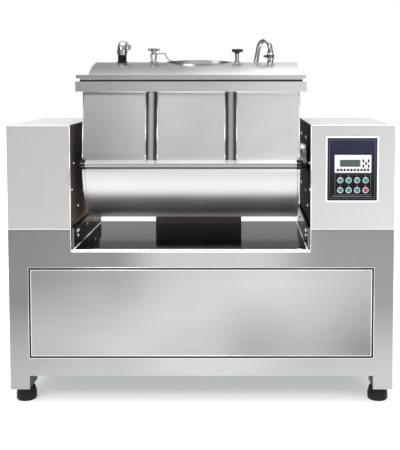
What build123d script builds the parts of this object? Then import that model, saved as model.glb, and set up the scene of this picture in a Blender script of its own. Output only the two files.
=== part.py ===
from build123d import *
import math
import os

# All sizes are in millimetres. X runs to the right, Y to the back and Z up, and the
# origin is on the floor under the middle of the cabinet.

# Tub
tub_length = 1070.0
tub_side_gap = 50.0          # tub end to the tower wall
drum_radius = 318.0
tub_wall = 5.0
end_plate = 12.0
mouth_lift = 28.0            # drum's top up to the underside of the rim
mouth_inset = 47.0           # how far each wall draws in from the drum under the rim
drum_setback = 48.0          # cabinet front back to the drum
drum_floor_gap = 102.0       # well floor up to the drum

# Rim, gasket and lid
rim_height = 49.0
rim_side_overhang = 31.0
rim_depth_overhang = 35.0
gasket_inset = 19.0
gasket_width = 20.0
gasket_height = 20.0
groove_depth = 5.0
lid_plate = 17.0
lid_inset = 3.0
vault_left_margin = 59.0
vault_right_margin = 31.0
vault_side_margin = 16.0
vault_rise = 68.0
lid_sheet = 3.0

# Pressed ribs on the tub
rib_spread = 390.0
rib_width = 52.0
rib_crest = 30.0
rib_height = 20.0
rib_root = 8.0               # how far a rib's section runs into the tub's wall before it is trimmed
belt_rib_height = 44.0
belt_rib_depth = 25.0
belt_rib_slope = 13.0
belt_rib_drop = 11.0         # shaft axis down to the middle of the level rib
rib_cap_length = 14.0

# Cabinet
left_tower_width = 305.0
right_tower_width = 405.0
body_depth = 800.0
foot_height = 66.0
foot_radius = 50.0
foot_inset = 63.0
stud_radius = 10.0
stud_length = 24.0
leg_width = 95.0
leg_depth = 150.0
leg_foot_plate = 8.0
skirt_rise = 68.0
floor_rise = 631.0
seam_rise = 93.0
seam_gap = 2.0
tower_rise = 185.0           # shaft axis up to the tower top
sheet = 3.0
cover_corner = 6.0
floor_fold = 16.0
floor_fold_radius = 12.0
panel_side_margin = 101.0
panel_bottom_margin = 95.0
panel_top_margin = 98.0
panel_gap = 3.0
panel_fold = 15.0
ledge_width = 16.0
well_rail_height = 102.0
well_rail_thickness = 14.0
well_rail_end_gap = 15.0
service_box_width = 490.0
service_box_depth = 90.0
service_box_front_height = 135.0
service_box_back_height = 165.0
vent_slot_length = 90.0
vent_slot_height = 6.0
vent_slot_pitch = 22.0
vent_slot_rows = 8
vent_column_pitch = 120.0
vent_columns = 4

# Welded inner frame
tube = 40.0
tube_wall = 3.0
bearing_plate = 25.0
bearing_plate_foot = 520.0
bearing_plate_head_radius = 150.0

# Trunnions, shaft and their bearings
trunnion_radius = 70.0
trunnion_bore = 50.0
trunnion_flange_radius = 120.0
trunnion_flange = 16.0
trunnion_cap = 8.0
wall_hole_margin = 8.0
housing_flange_radius = 130.0
housing_flange = 18.0
housing_radius = 105.0
housing_length = 55.0
running_clearance = 0.05
shaft_radius = 40.0
seal_length = 60.0
bush_length = 40.0

# Mixing paddles
paddle_count = 6
paddle_width = 150.0
paddle_end_gap = 30.0
paddle_wall_gap = 10.0
paddle_thickness = 14.0
paddle_depth = 62.0
paddle_curve_radius = 120.0
paddle_skew = 30.0
hub_across_flats = 120.0
hub_length = 84.0
arm_pad_size = 66.0
arm_pad_thickness = 14.0
arm_root_radius = 24.0
arm_tip_radius = 17.0

# Tilt drive
gear_module = 5.0
gear_teeth = 54
pinion_teeth = 18
pressure_angle = math.radians(20)
gear_width = 40.0
gear_backlash = 0.3
gear_gap = 10.0              # bearing housing to gear
pinion_extra = 6.0
pinion_shaft_radius = 20.0
gearbox_gap = 12.0
gearbox_size = (120.0, 180.0, 200.0)
gearbox_input_depth = 45.0
tilt_motor_radius = 72.0
tilt_motor_length = 210.0

# Mixing drive
reducer_gap = 7.0
reducer_width = 90.0
reducer_output_radius = 120.0
reducer_input_radius = 70.0
reducer_offset = (144.0, -100.0)
torque_arm_size = (50.0, 40.0)
pulley_gap = 10.0
pulley_width = 45.0
belt_ratio = 2.0
small_pulley_radius = 72.0
belt_count = 3
belt_width = 9.0
belt_thickness = 8.0
belt_clearance = 0.3
pulley_shaft_radius = 21.0
pulley_shaft_length = 50.0
motor_height = 160.0
motor_radius = 135.0
motor_length = 330.0
motor_fin = 12.0
motor_fin_thickness = 4.0
motor_fin_count = 24
motor_plate = 10.0
motor_shield = 24.0
motor_foot_width = 60.0
terminal_box = (110.0, 100.0, 40.0)

# Vacuum pump
pump_length = 300.0
pump_radius = 110.0
pump_motor_length = 230.0
pump_motor_radius = 90.0
pump_height = 150.0
pump_inset = 510.0           # right side face to the middle of the pump
pump_port_inset = 80.0
pump_port_rise = 60.0
pump_port_radius = 28.0
pump_filter_radius = 40.0

# Operator console
console_inset = 69.0
console_drop = 53.0
console_width = 258.0
console_height = 321.0
console_border = 8.5
console_proud = 7.0
console_plate = 3.0
controls_offset = 3.6
display_width = 177.0
display_height = 86.0
display_drop = 91.0          # console top down to the display bezel
display_proud = 3.0
screen_width = 103.0
screen_height = 34.6
screen_left = 23.0
screen_drop = 23.0
screen_sunk = 1.0
key_height = 1.0
round_key_radius = 3.6
round_key_count = 10
round_key_pitch = 16.2
round_key_drop = 72.6
arrow_key_size = 6.2
arrow_key_pitch = 12.7
arrow_key_right = 25.8
arrow_key_drop = 41.4
button_radius = 11.4
button_pitch_x = 40.8
button_pitch_z = 47.9
button_drop = 213.8
button_columns = 4
button_rows = 2
bezel_radius = 14.9
bezel_height = 8.0
button_proud = 2.0
button_length = 18.0
enclosure_depth = 120.0

# Lid fittings, placed along X from the vault's nearer end or from the middle of the well
vacuum_inset = 125.0         # vault's left end to the vacuum stub
vacuum_stub_radius = 23.5
vacuum_stub_height = 37.0
vacuum_bore = 17.0
vacuum_neck = 10.0
vacuum_ring_radius = 28.0
vacuum_ring = 12.0
vacuum_pipe_radius = 25.0
vacuum_bend_radius = 30.0
vacuum_tail = 64.0
nipple_radius = 6.0
nipple_reach = 14.0
nipple_height = 26.0
left_knob_x = -214.0
right_knob_x = 223.0
knob_stud_radius = 6.0
left_knob_rise = 50.0
right_knob_rise = 45.0
knob_height = 24.0
knob_core_radius = 18.0
knob_lobe_radius = 9.0
knob_lobes = 5
knob_reach = 31.0
fork_spread = 15.0
fork_radius = 5.5
stem_radius = 10.5
hatch_left = -145.0
hatch_right = 196.0
hatch_depth = 240.0
hatch_thickness = 9.0        # at the middle of the domed cover
hatch_edge = 2.0             # at its two ends
strap_width = 24.0
strap_thickness = 6.0
strap_bend = 46.0
strap_reach = 105.0          # left knob's axis to the strap's end on the hatch
pipe_radius = 12.5
pipe_wall = 2.0
pipe_back = (211.0, 55.0)    # in from the vault's right end, and back from the shaft's line
pipe_front = (136.0, -55.0)
pipe_top = 123.0             # vault crown up to the top of the arch
pipe_corner_share = 0.29
pipe_straight = 2.0          # least straight run between the bends and down to the valve
valve_radius = 20.0
valve_end_radius = 15.5
valve_height = 58.0
valve_end = 14.0
lever_length = 36.0
lever_width = 11.0
lever_thickness = 5.0
lever_hub_radius = 9.0
valve_stem_radius = 5.0
valve_stem_length = 12.0

# Lid hinge
hinge_offset = 393.0         # each hinge from the middle of the well
hinge_setback = 21.0
hinge_knuckle_radius = 14.0
hinge_pin_radius = 8.0
hinge_pin_head = 4.0
hinge_leaf_width = 50.0
hinge_ear = 12.0
hinge_ear_gap = 0.5
hinge_plate = 10.0

# Rear cable entry
gland_inset = 240.0          # right side face to the gland
gland_rise = 166.0           # cabinet's lower edge up to the gland
gland_bore = 8.0
gland_thread_radius = 12.0
gland_hex = 36.0

# Places that follow from the sizes above
wall_rise = drum_radius + mouth_lift
mouth_half_depth = drum_radius - mouth_inset
well_width = tub_length + 2 * tub_side_gap
overall_width = left_tower_width + well_width + right_tower_width
left_face = -overall_width / 2
right_face = overall_width / 2
well_left = left_face + left_tower_width
well_right = right_face - right_tower_width
well_mid = (well_left + well_right) / 2
tub_left = well_left + tub_side_gap
tub_right = well_right - tub_side_gap
front_face = -body_depth / 2
rear_face = body_depth / 2
skirt_z = foot_height + skirt_rise
floor_z = skirt_z + floor_rise
seam_z = floor_z + seam_rise
shaft_y = front_face + drum_setback + drum_radius
shaft_z = floor_z + drum_floor_gap + drum_radius
tower_z = shaft_z + tower_rise
rim_z = shaft_z + wall_rise
rim_top = rim_z + rim_height
lid_z = rim_top - groove_depth + gasket_height
lid_top = lid_z + lid_plate
crown_z = lid_top + vault_rise
pan_top = skirt_z + sheet
rail_top = floor_z - sheet
mouth_angle = math.atan2(wall_rise, mouth_half_depth)
lean = mouth_angle - math.acos(drum_radius / math.hypot(mouth_half_depth, wall_rise))
rim_half_depth = mouth_half_depth + rim_depth_overhang
mouth_inner_half = mouth_half_depth - tub_wall / math.cos(lean)
vault_half_depth = rim_half_depth - vault_side_margin
vault_radius = (vault_half_depth ** 2 + vault_rise ** 2) / (2 * vault_rise)
vault_centre_z = crown_z - vault_radius
lid_left = tub_left - rim_side_overhang + lid_inset
lid_right = tub_right + rim_side_overhang - lid_inset
vault_left = lid_left + vault_left_margin
vault_right = lid_right - vault_right_margin
left_plate = (well_left - sheet - bearing_plate, well_left - sheet)
right_plate = (well_right + sheet, well_right + sheet + bearing_plate)
plate_mid = ((left_plate[0] + left_plate[1]) / 2, (right_plate[0] + right_plate[1]) / 2)
left_housing = (left_plate[0] - housing_length, left_plate[0])
right_housing = (right_plate[1], right_plate[1] + housing_length)
gear_x = (right_housing[1] + gear_gap, right_housing[1] + gear_gap + gear_width)
trunnion_end = gear_x[1] + trunnion_cap
gear_pitch_radius = gear_module * gear_teeth / 2
pinion_pitch_radius = gear_module * pinion_teeth / 2
pinion_z = shaft_z - gear_pitch_radius - pinion_pitch_radius
pinion_x = (gear_x[0] - pinion_extra / 2, gear_x[1] + pinion_extra / 2)
gearbox_x = (pinion_x[1] + gearbox_gap, pinion_x[1] + gearbox_gap + gearbox_size[0])
reducer_x = (left_housing[0] - reducer_gap - reducer_width, left_housing[0] - reducer_gap)
pulley_x = (reducer_x[0] - pulley_gap - pulley_width, reducer_x[0] - pulley_gap)
input_y = shaft_y + reducer_offset[0]
input_z = shaft_z + reducer_offset[1]
motor_base_z = pan_top + tube + motor_plate
motor_z = motor_base_z + motor_height
belt_line = belt_thickness / 2 - belt_clearance
large_pulley_radius = belt_ratio * (small_pulley_radius - belt_line) + belt_line
motor_x = (pulley_x[1] + pulley_gap, pulley_x[1] + pulley_gap + motor_length)
vacuum_x = vault_left + vacuum_inset
pipe_foot = (vault_right - pipe_back[0], shaft_y + pipe_back[1])
valve_foot = (vault_right - pipe_front[0], shaft_y + pipe_front[1])
pump_x = right_face - pump_inset
gland_x = right_face - gland_inset
gland_z = skirt_z + gland_rise
tip_radius = drum_radius - tub_wall - paddle_wall_gap
hinge_y = shaft_y + rim_half_depth + hinge_setback
console_x = (well_right + console_inset, well_right + console_inset + console_width)
console_z = (tower_z - console_drop - console_height, tower_z - console_drop)
controls_x = (console_x[0] + console_x[1]) / 2 + controls_offset
display_x = (controls_x - display_width / 2, controls_x + display_width / 2)
display_z = (console_z[1] - display_drop - display_height, console_z[1] - display_drop)
plate_front = front_face - console_plate
display_front = plate_front - display_proud


def block(x, y, z):
    return Pos(sum(x) / 2, sum(y) / 2, sum(z) / 2) * Box(x[1] - x[0], y[1] - y[0], z[1] - z[0])


def rod_x(radius, x, y, z):
    return Pos(sum(x) / 2, y, z) * Rot(0, 90, 0) * Cylinder(radius, x[1] - x[0])


def rod_y(radius, x, y, z):
    return Pos(x, sum(y) / 2, z) * Rot(90, 0, 0) * Cylinder(radius, y[1] - y[0])


def rod_z(radius, x, y, z):
    return Pos(x, y, sum(z) / 2) * Cylinder(radius, z[1] - z[0])


def rect(a, b):
    return Pos(sum(a) / 2, sum(b) / 2) * Rectangle(a[1] - a[0], b[1] - b[0])


def polygon(*points):
    # Points are put in anticlockwise order, so that every outline faces the same way.
    doubled_area = sum(a[0] * b[1] - b[0] * a[1] for a, b in zip(points, points[1:] + points[:1]))
    return Polygon(*(points if doubled_area > 0 else points[::-1]), align=None)


def grow(span, amount):
    return (span[0] - amount, span[1] + amount)


def about(middle, size):
    return (middle - size / 2, middle + size / 2)


def along_x(profile, x):
    plane = Plane(origin=(x[0], 0, 0), x_dir=(0, 1, 0), z_dir=(1, 0, 0))
    return extrude(plane * profile, x[1] - x[0])


def along_y(profile, y):
    plane = Plane(origin=(0, y[1], 0), x_dir=(1, 0, 0), z_dir=(0, -1, 0))
    return extrude(plane * profile, y[1] - y[0])


def group(*solids):
    return Compound(children=list(solids))


def tube_x(x, y, z):
    return block(x, y, z) - block(x, grow(y, -tube_wall), grow(z, -tube_wall))


def tube_y(x, y, z):
    return block(x, y, z) - block(grow(x, -tube_wall), y, grow(z, -tube_wall))


def tube_z(x, y, z):
    return block(x, y, z) - block(grow(x, -tube_wall), grow(y, -tube_wall), z)


def tub_profile(inset):
    # A round trough with two leaning walls that run on from it without a corner.
    radius = drum_radius - inset
    half_mouth = mouth_half_depth - inset / math.cos(lean)
    run_y, run_z = radius * math.cos(lean), radius * math.sin(lean)
    walls = polygon((-half_mouth, wall_rise), (half_mouth, wall_rise), (run_y, run_z), (-run_y, run_z))
    return Pos(shaft_y, shaft_z) * (Circle(radius) + walls)


def vault_profile(inset):
    ring = Pos(shaft_y, vault_centre_z) * Circle(vault_radius - inset)
    above = rect(about(shaft_y, 2 * vault_radius), (lid_top, crown_z))
    return ring & above


def vault_height(offset):
    return vault_centre_z + math.sqrt(vault_radius ** 2 - offset ** 2)


def wall_hole_radius():
    return trunnion_radius + wall_hole_margin


# Cabinet


def leg_spans():
    # The four legs, as spans in X and Y inside the outer skins.
    inner_x = (left_face + leg_width, right_face - leg_width)
    inner_y = (front_face + leg_depth, rear_face - leg_depth)
    for x in ((left_face + sheet, inner_x[0]), (inner_x[1], right_face - sheet)):
        for y in ((front_face + sheet, inner_y[0]), (inner_y[1], rear_face - sheet)):
            yield x, y


def foot_places():
    for x in (left_face + foot_inset, right_face - foot_inset):
        for y in (front_face + foot_inset, rear_face - foot_inset):
            yield x, y


def make_levelling_feet():
    washer = 4.0
    pad = foot_height - washer
    top_radius = foot_radius - 8
    section = polygon((0, 0), (foot_radius - 4, 0), (foot_radius, 8), (foot_radius, pad * 0.55),
                      (top_radius, pad), (0, pad))
    rubber = revolve(Plane.XZ * section, Axis.Z)
    stud_top = foot_height + leg_foot_plate + stud_length
    foot = rubber + rod_z(foot_radius / 2, 0, 0, (pad, foot_height))
    foot += rod_z(stud_radius, 0, 0, (foot_height, stud_top))
    return group(*[Pos(x, y, 0) * foot for x, y in foot_places()])


def make_base_tray():
    tray = block((left_face + sheet, right_face - sheet), grow((front_face, rear_face), -sheet),
                 (skirt_z, pan_top))
    for x, y in leg_spans():
        column = block(x, y, (foot_height, skirt_z))
        tray += column - block(grow(x, -sheet), grow(y, -sheet),
                               (foot_height + leg_foot_plate, skirt_z))
    for x, y in foot_places():
        tray -= rod_z(stud_radius + 0.3, x, y, (0, skirt_z - sheet))
    return tray


def make_base_frame():
    outer_x = (left_face + sheet, right_face - sheet)
    outer_y = (front_face + sheet, rear_face - sheet)
    post_x = ((outer_x[0], outer_x[0] + tube), (outer_x[1] - tube, outer_x[1]))
    post_y = ((outer_y[0], outer_y[0] + tube), (outer_y[1] - tube, outer_y[1]))
    inner_x, inner_y = grow(outer_x, -tube), grow(outer_y, -tube)
    levels = ((pan_top, pan_top + tube), (rail_top - tube, rail_top))
    frame = [tube_z(x, y, (pan_top, tower_z - sheet)) for x in post_x for y in post_y]
    clear = floor_fold_radius - sheet
    top_y = ((post_y[0][0] + clear, post_y[0][1] + clear), (post_y[1][0] - clear, post_y[1][1] - clear))
    cross_y = (top_y[0][1], top_y[1][0])
    frame += [tube_x(inner_x, y, levels[0]) for y in post_y]
    frame += [tube_x(inner_x, y, levels[1]) for y in top_y]
    frame += [tube_y(x, inner_y, z) for x in post_x for z in levels]
    frame += [tube_y(about(x, tube), cross_y, levels[1]) for x in (*plate_mid, sum(gearbox_x) / 2)]
    motor_rails = (motor_x[0] + tube, motor_x[1] - tube)
    pump_rails = (pump_x - pump_length / 3, pump_x + pump_length / 3)
    frame += [tube_y(about(x, tube), inner_y, levels[0]) for x in (*motor_rails, *pump_rails)]
    for x in (left_plate, right_plate):
        base = rect(about(shaft_y, bearing_plate_foot), (rail_top, rail_top + tube))
        head = Pos(shaft_y, shaft_z) * Circle(bearing_plate_head_radius)
        low, high = rail_top + tube, shaft_z
        web = polygon((shaft_y - bearing_plate_foot / 2, low), (shaft_y + bearing_plate_foot / 2, low),
                      (shaft_y + bearing_plate_head_radius, high),
                      (shaft_y - bearing_plate_head_radius, high))
        plate = along_x(base + web + head, x)
        frame.append(plate - rod_x(wall_hole_radius(), x, shaft_y, shaft_z))
    motor_bed = block(grow(motor_x, -tube / 2), about(input_y, 2 * motor_radius),
                      (pan_top + tube, motor_base_z))
    return frame[0].fuse(*frame[1:], motor_bed)


def skin_profile():
    # Outline shared by the front and rear skins: two tower fronts, a well and four legs.
    outline = rect((left_face, right_face), (foot_height, seam_z))
    outline -= rect((well_left, well_right), (floor_z - floor_fold, seam_z))
    outline -= rect((left_face + leg_width, right_face - leg_width), (foot_height, skirt_z))
    return outline


def access_opening():
    x = (left_face + panel_side_margin - panel_gap, right_face - panel_side_margin + panel_gap)
    z = (skirt_z + panel_bottom_margin - panel_gap, floor_z - panel_top_margin + panel_gap)
    return x, z


def make_front_skin():
    x, z = access_opening()
    skin = along_y(skin_profile() - rect(x, z), (front_face, front_face + sheet))
    back = front_face + sheet + panel_fold
    frame = rect(grow(x, sheet), grow(z, sheet)) - rect(x, z)
    ledge = rect(grow(x, sheet), grow(z, sheet)) - rect(grow(x, -ledge_width), grow(z, -ledge_width))
    skin += along_y(frame, (front_face + sheet, back))
    skin += along_y(ledge, (back, back + sheet))
    return skin


def make_front_access_panel():
    x, z = access_opening()
    face = block(grow(x, -panel_gap), (front_face, front_face + sheet + panel_fold), grow(z, -panel_gap))
    hollow = block(grow(x, -panel_gap - sheet), (front_face + sheet, front_face + sheet + panel_fold),
                   grow(z, -panel_gap - sheet))
    rim_edges = face.faces().sort_by(Axis.Y)[0].edges()
    return chamfer(rim_edges, sheet * 0.6) - hollow


def make_side_skins():
    z = (foot_height, seam_z)
    y = (front_face + sheet, rear_face - sheet)
    outline = rect(y, z) - rect((front_face + leg_depth, rear_face - leg_depth), (foot_height, skirt_z))
    return group(along_x(outline, (left_face, left_face + sheet)),
                 along_x(outline, (right_face - sheet, right_face)))


def make_rear_skin():
    outline = skin_profile()
    rows = [Pos(0, row * vent_slot_pitch) for row in range(vent_slot_rows)]
    half_spread = (vent_columns - 1) / 2 * vent_column_pitch
    columns = [Pos(column * vent_column_pitch - half_spread, 0) for column in range(vent_columns)]
    first_row = skirt_z + panel_bottom_margin
    slots = [Pos(0, first_row) * row * column * Rectangle(vent_slot_length, vent_slot_height)
             for row in rows for column in columns]
    outline -= slots
    outline -= Pos(gland_x, gland_z) * Circle(gland_thread_radius)
    return along_y(outline, (rear_face - sheet, rear_face))


def make_cable_gland():
    hexagon = RegularPolygon(gland_hex / 2, 6, major_radius=False)
    front = along_y(Pos(gland_x, gland_z) * hexagon, (rear_face, rear_face + 6))
    dome = rod_y(gland_thread_radius + 2, gland_x, (rear_face + 6, rear_face + 13), gland_z)
    thread = rod_y(gland_thread_radius, gland_x, (rear_face - sheet, rear_face), gland_z)
    nut = along_y(Pos(gland_x, gland_z) * hexagon, (rear_face - sheet - 5, rear_face - sheet))
    bore = rod_y(gland_bore, gland_x, (rear_face - 20, rear_face + 20), gland_z)
    return front + dome + thread + nut - bore


def make_well_floor():
    y, z = (front_face, rear_face), (floor_z - floor_fold, floor_z)
    outer = rect(y, z)
    inner = rect(grow(y, -sheet), (z[0], z[1] - sheet))
    outer = fillet(outer.vertices().sort_by(Axis.Y)[-2:], floor_fold_radius)
    inner = fillet(inner.vertices().sort_by(Axis.Y)[-2:], floor_fold_radius - sheet)
    return along_x(outer - inner, (well_left, well_right))


def make_well_walls():
    outline = rect(grow((front_face, rear_face), -sheet), (rail_top, tower_z - sheet))
    outline -= Pos(shaft_y, shaft_z) * Circle(wall_hole_radius())
    return group(along_x(outline, (well_left - sheet, well_left)),
                 along_x(outline, (well_right, well_right + sheet)))


def make_well_rails():
    y = grow((front_face, rear_face), -well_rail_end_gap)
    z = (floor_z, floor_z + well_rail_height)
    rails = []
    for x, side in (((well_left, well_left + well_rail_thickness), -1),
                    ((well_right - well_rail_thickness, well_right), 1)):
        bar = block(x, y, z)
        top_edges = bar.faces().sort_by(Axis.Z)[-1].edges().filter_by(Axis.Y).sort_by(Axis.X)
        rails.append(chamfer(top_edges[-1 if side < 0 else 0], well_rail_thickness / 3))
    return group(*rails)


def make_rear_service_box():
    x = about(well_mid, service_box_width)
    back = rear_face - sheet
    front = rear_face - service_box_depth
    outline = polygon((front, floor_z), (back, floor_z), (back, floor_z + service_box_back_height),
                      (front, floor_z + service_box_front_height))
    shell = along_x(outline, x)
    inner = polygon((front + sheet, floor_z), (back - sheet, floor_z),
                    (back - sheet, floor_z + service_box_back_height - sheet),
                    (front + sheet, floor_z + service_box_front_height - sheet))
    shell = fillet(shell.edges().filter_by(Axis.X).sort_by(Axis.Z)[-2:], cover_corner)
    return shell - along_x(inner, grow(x, -sheet))


def tower_cover(x, open_side):
    # A folded cover: front, back, top and outer side, open below and towards the well.
    y, z = (front_face, rear_face), (seam_z + seam_gap, tower_z)
    shell = block(x, y, z)
    top_edges = shell.faces().sort_by(Axis.Z)[-1].edges()
    outer_face = shell.faces().sort_by(Axis.X)[0 if open_side > 0 else -1]
    upright = outer_face.edges().filter_by(Axis.Z)
    kept = top_edges.filter_by(Axis.X) + upright + (top_edges & outer_face.edges())
    shell = fillet(kept, cover_corner)
    hollow_x = (x[0] + sheet, x[1]) if open_side > 0 else (x[0], x[1] - sheet)
    return shell - block(hollow_x, grow(y, -sheet), (z[0], z[1] - sheet))


def make_left_tower_cover():
    return tower_cover((left_face, well_left), 1)


def make_right_tower_cover():
    cover = tower_cover((well_right, right_face), -1)
    x, z = grow(console_x, -2 * console_border), grow(console_z, -2 * console_border)
    return cover - block(x, (front_face, front_face + sheet), z)


# Bearings and drives


def make_trunnion_bearings():
    housings = []
    for x, flange in ((left_housing, (left_housing[1] - housing_flange, left_housing[1])),
                      (right_housing, (right_housing[0], right_housing[0] + housing_flange))):
        body = rod_x(housing_radius, x, shaft_y, shaft_z)
        body += rod_x(housing_flange_radius, flange, shaft_y, shaft_z)
        housings.append(body - rod_x(trunnion_radius + running_clearance, x, shaft_y, shaft_z))
    return group(*housings)


def make_shaft_reducer():
    top = Pos(shaft_y, shaft_z) * Circle(reducer_output_radius)
    low = Pos(input_y, input_z) * Circle(reducer_input_radius)
    case = along_x(make_hull(top.edges() + low.edges()), reducer_x)
    arm_y, arm_z = about(input_y, torque_arm_size[0]), about(input_z, torque_arm_size[1])
    case += block((sum(reducer_x) / 2, left_plate[0]), arm_y, arm_z) - rod_x(
        housing_flange_radius + 1, grow(left_housing, 1), shaft_y, shaft_z)
    case -= rod_x(shaft_radius + running_clearance, reducer_x, shaft_y, shaft_z)
    entry = (reducer_x[0], reducer_x[0] + pulley_shaft_length)
    return case - rod_x(pulley_shaft_radius + running_clearance, entry, input_y, input_z)


def grooved_pulley(radius, y, z):
    wheel = rod_x(radius, pulley_x, y, z)
    pitch = pulley_width / belt_count
    for number in range(belt_count):
        middle = pulley_x[0] + (number + 0.5) * pitch
        groove = about(middle, belt_width + 2 * belt_clearance)
        wheel -= rod_x(radius + 1, groove, y, z) - rod_x(radius - belt_thickness, groove, y, z)
    return wheel


def make_reducer_pulley():
    wheel = grooved_pulley(large_pulley_radius, input_y, input_z)
    reach = (pulley_x[1], reducer_x[0] + pulley_shaft_length - 2)
    return wheel + rod_x(pulley_shaft_radius, reach, input_y, input_z)


def make_motor_pulley():
    wheel = grooved_pulley(small_pulley_radius, input_y, motor_z)
    reach = (pulley_x[1], motor_x[0] + pulley_shaft_length - 2)
    return wheel + rod_x(pulley_shaft_radius, reach, input_y, motor_z)


def belt_loop(growth):
    # Both pulley rims and the two straight runs that touch them.
    upper = large_pulley_radius - belt_thickness + growth
    lower = small_pulley_radius - belt_thickness + growth
    rise = math.asin((upper - lower) / (input_z - motor_z))
    run_y, run_z = math.cos(rise), math.sin(rise)
    runs = polygon((upper * run_y, input_z + upper * run_z), (-upper * run_y, input_z + upper * run_z),
                   (-lower * run_y, motor_z + lower * run_z), (lower * run_y, motor_z + lower * run_z))
    return Pos(input_y, 0) * (Pos(0, input_z) * Circle(upper) + Pos(0, motor_z) * Circle(lower) + runs)


def make_drive_belts():
    profile = belt_loop(belt_clearance + belt_thickness) - belt_loop(belt_clearance)
    pitch = pulley_width / belt_count
    middles = [pulley_x[0] + (number + 0.5) * pitch for number in range(belt_count)]
    return group(*[along_x(profile, about(middle, belt_width)) for middle in middles])


def make_main_motor():
    shield = motor_shield
    ribbed = Circle(motor_radius - motor_fin)
    for number in range(motor_fin_count):
        turn = Rot(0, 0, number * 360 / motor_fin_count)
        ribbed += turn * Pos(motor_radius - motor_fin, 0) * Rectangle(2 * motor_fin, motor_fin_thickness)
    centre = Pos(input_y, motor_z)
    motor = along_x(centre * ribbed, (motor_x[0] + shield, motor_x[1] - shield))
    motor += rod_x(motor_radius, (motor_x[0], motor_x[0] + shield), input_y, motor_z)
    motor += rod_x(motor_radius + 4, (motor_x[1] - shield * 2, motor_x[1]), input_y, motor_z)
    foot_x = grow(motor_x, -2.5 * shield)
    for side in (-1, 1):
        middle = input_y + side * motor_radius * 0.72
        foot_y = about(middle, motor_foot_width)
        motor += block(foot_x, foot_y, (motor_base_z, motor_z - motor_radius * 0.5))
    box_x, box_y = about(sum(motor_x) / 2, terminal_box[0]), about(input_y, terminal_box[1])
    motor += block(box_x, box_y, (motor_z, motor_z + motor_radius + terminal_box[2]))
    entry = (motor_x[0], motor_x[0] + pulley_shaft_length)
    return motor - rod_x(pulley_shaft_radius + running_clearance, entry, input_y, motor_z)


def make_vacuum_pump():
    bed_z = pan_top + tube
    axis_z = bed_z + pump_height
    pump_span = about(pump_x, pump_length)
    motor_span = (pump_span[1], pump_span[1] + pump_motor_length)
    pump = rod_x(pump_radius, pump_span, 0, axis_z) + rod_x(pump_motor_radius, motor_span, 0, axis_z)
    pump += block(grow(pump_span, -30), about(0, 1.5 * pump_radius), (bed_z, axis_z))
    port = (axis_z, axis_z + pump_radius + pump_port_rise)
    port_x, filter_x = pump_span[0] + pump_port_inset, pump_span[1] - pump_port_inset
    pump += rod_z(pump_port_radius, port_x, 0, port) + rod_z(pump_filter_radius, filter_x, 0, port)
    return pump - rod_z(pump_port_radius - 8, port_x, 0, (axis_z + pump_radius, port[1]))


def gear_outline(teeth, phase):
    # Involute outline with a tooth centred on the angle phase.
    pitch_r = gear_module * teeth / 2
    base_r = pitch_r * math.cos(pressure_angle)
    root_r = pitch_r - 1.25 * gear_module
    tip_r = pitch_r + gear_module
    start_r = max(root_r, base_r)
    step = 2 * math.pi / teeth

    def spread(radius):
        roll = math.acos(base_r / radius)
        at_pitch = math.tan(pressure_angle) - pressure_angle
        half_tooth = math.pi / (2 * teeth) - gear_backlash / (2 * pitch_r)
        return half_tooth + at_pitch - (math.tan(roll) - roll)

    def point(radius, angle):
        return (radius * math.cos(angle), radius * math.sin(angle))

    edges = []
    for number in range(teeth):
        middle = phase + number * step
        flank = [(radius, spread(radius)) for radius in (start_r, (start_r + tip_r) / 2, tip_r)]
        rising = [point(radius, middle - angle) for radius, angle in flank]
        falling = [point(radius, middle + angle) for radius, angle in reversed(flank)]
        if root_r < base_r:
            edges.append(Line(point(root_r, middle - flank[0][1]), rising[0]))
        edges.append(ThreePointArc(*rising))
        edges.append(ThreePointArc(rising[2], point(tip_r, middle), falling[0]))
        edges.append(ThreePointArc(*falling))
        if root_r < base_r:
            edges.append(Line(falling[2], point(root_r, middle + flank[0][1])))
        gap_start = middle + flank[0][1]
        gap_end = middle + step - flank[0][1]
        edges.append(ThreePointArc(point(root_r, gap_start), point(root_r, middle + step / 2),
                                   point(root_r, gap_end)))
    return Face(Wire(edges))


def make_tilt_gear():
    outline = Pos(shaft_y, shaft_z) * gear_outline(gear_teeth, -math.pi / 2)
    gear = along_x(outline, gear_x)
    return gear - rod_x(trunnion_radius + running_clearance, gear_x, shaft_y, shaft_z)


def make_tilt_pinion():
    outline = Pos(shaft_y, pinion_z) * gear_outline(pinion_teeth, math.pi / 2 + math.pi / pinion_teeth)
    reach = (pinion_x[1], gearbox_x[0] + gearbox_input_depth - 2)
    return along_x(outline, pinion_x) + rod_x(pinion_shaft_radius, reach, shaft_y, pinion_z)


def make_tilt_gearmotor():
    y, z = about(shaft_y, gearbox_size[1]), about(pinion_z, gearbox_size[2])
    case = fillet(block(gearbox_x, y, z).edges().filter_by(Axis.X), 20)
    middle = sum(gearbox_x) / 2
    case += block(about(middle, gearbox_size[0] * 0.8), grow(y, -20), (rail_top, z[0] + 10))
    motor_z_low = z[0] + tilt_motor_radius + 10
    case += rod_y(tilt_motor_radius, middle, (y[1] - 10, y[1] + tilt_motor_length), motor_z_low)
    entry = (gearbox_x[0], gearbox_x[0] + gearbox_input_depth)
    return case - rod_x(pinion_shaft_radius + running_clearance, entry, shaft_y, pinion_z)


# Operator console


def make_panel_frame():
    front = front_face - console_proud
    ring = rect(console_x, console_z)
    ring -= rect(grow(console_x, -console_border), grow(console_z, -console_border))
    border = along_y(ring, (front, front_face))
    outer = border.edges().filter_by(Axis.Y).filter_by(
        lambda edge: edge.center().X < console_x[0] + 1 or edge.center().X > console_x[1] - 1)
    border = fillet(outer, 5)
    screen_x, screen_z = screen_spans()
    bezel = along_y(rect(display_x, display_z) - rect(screen_x, screen_z), (display_front, plate_front))
    return group(border, bezel)


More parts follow.
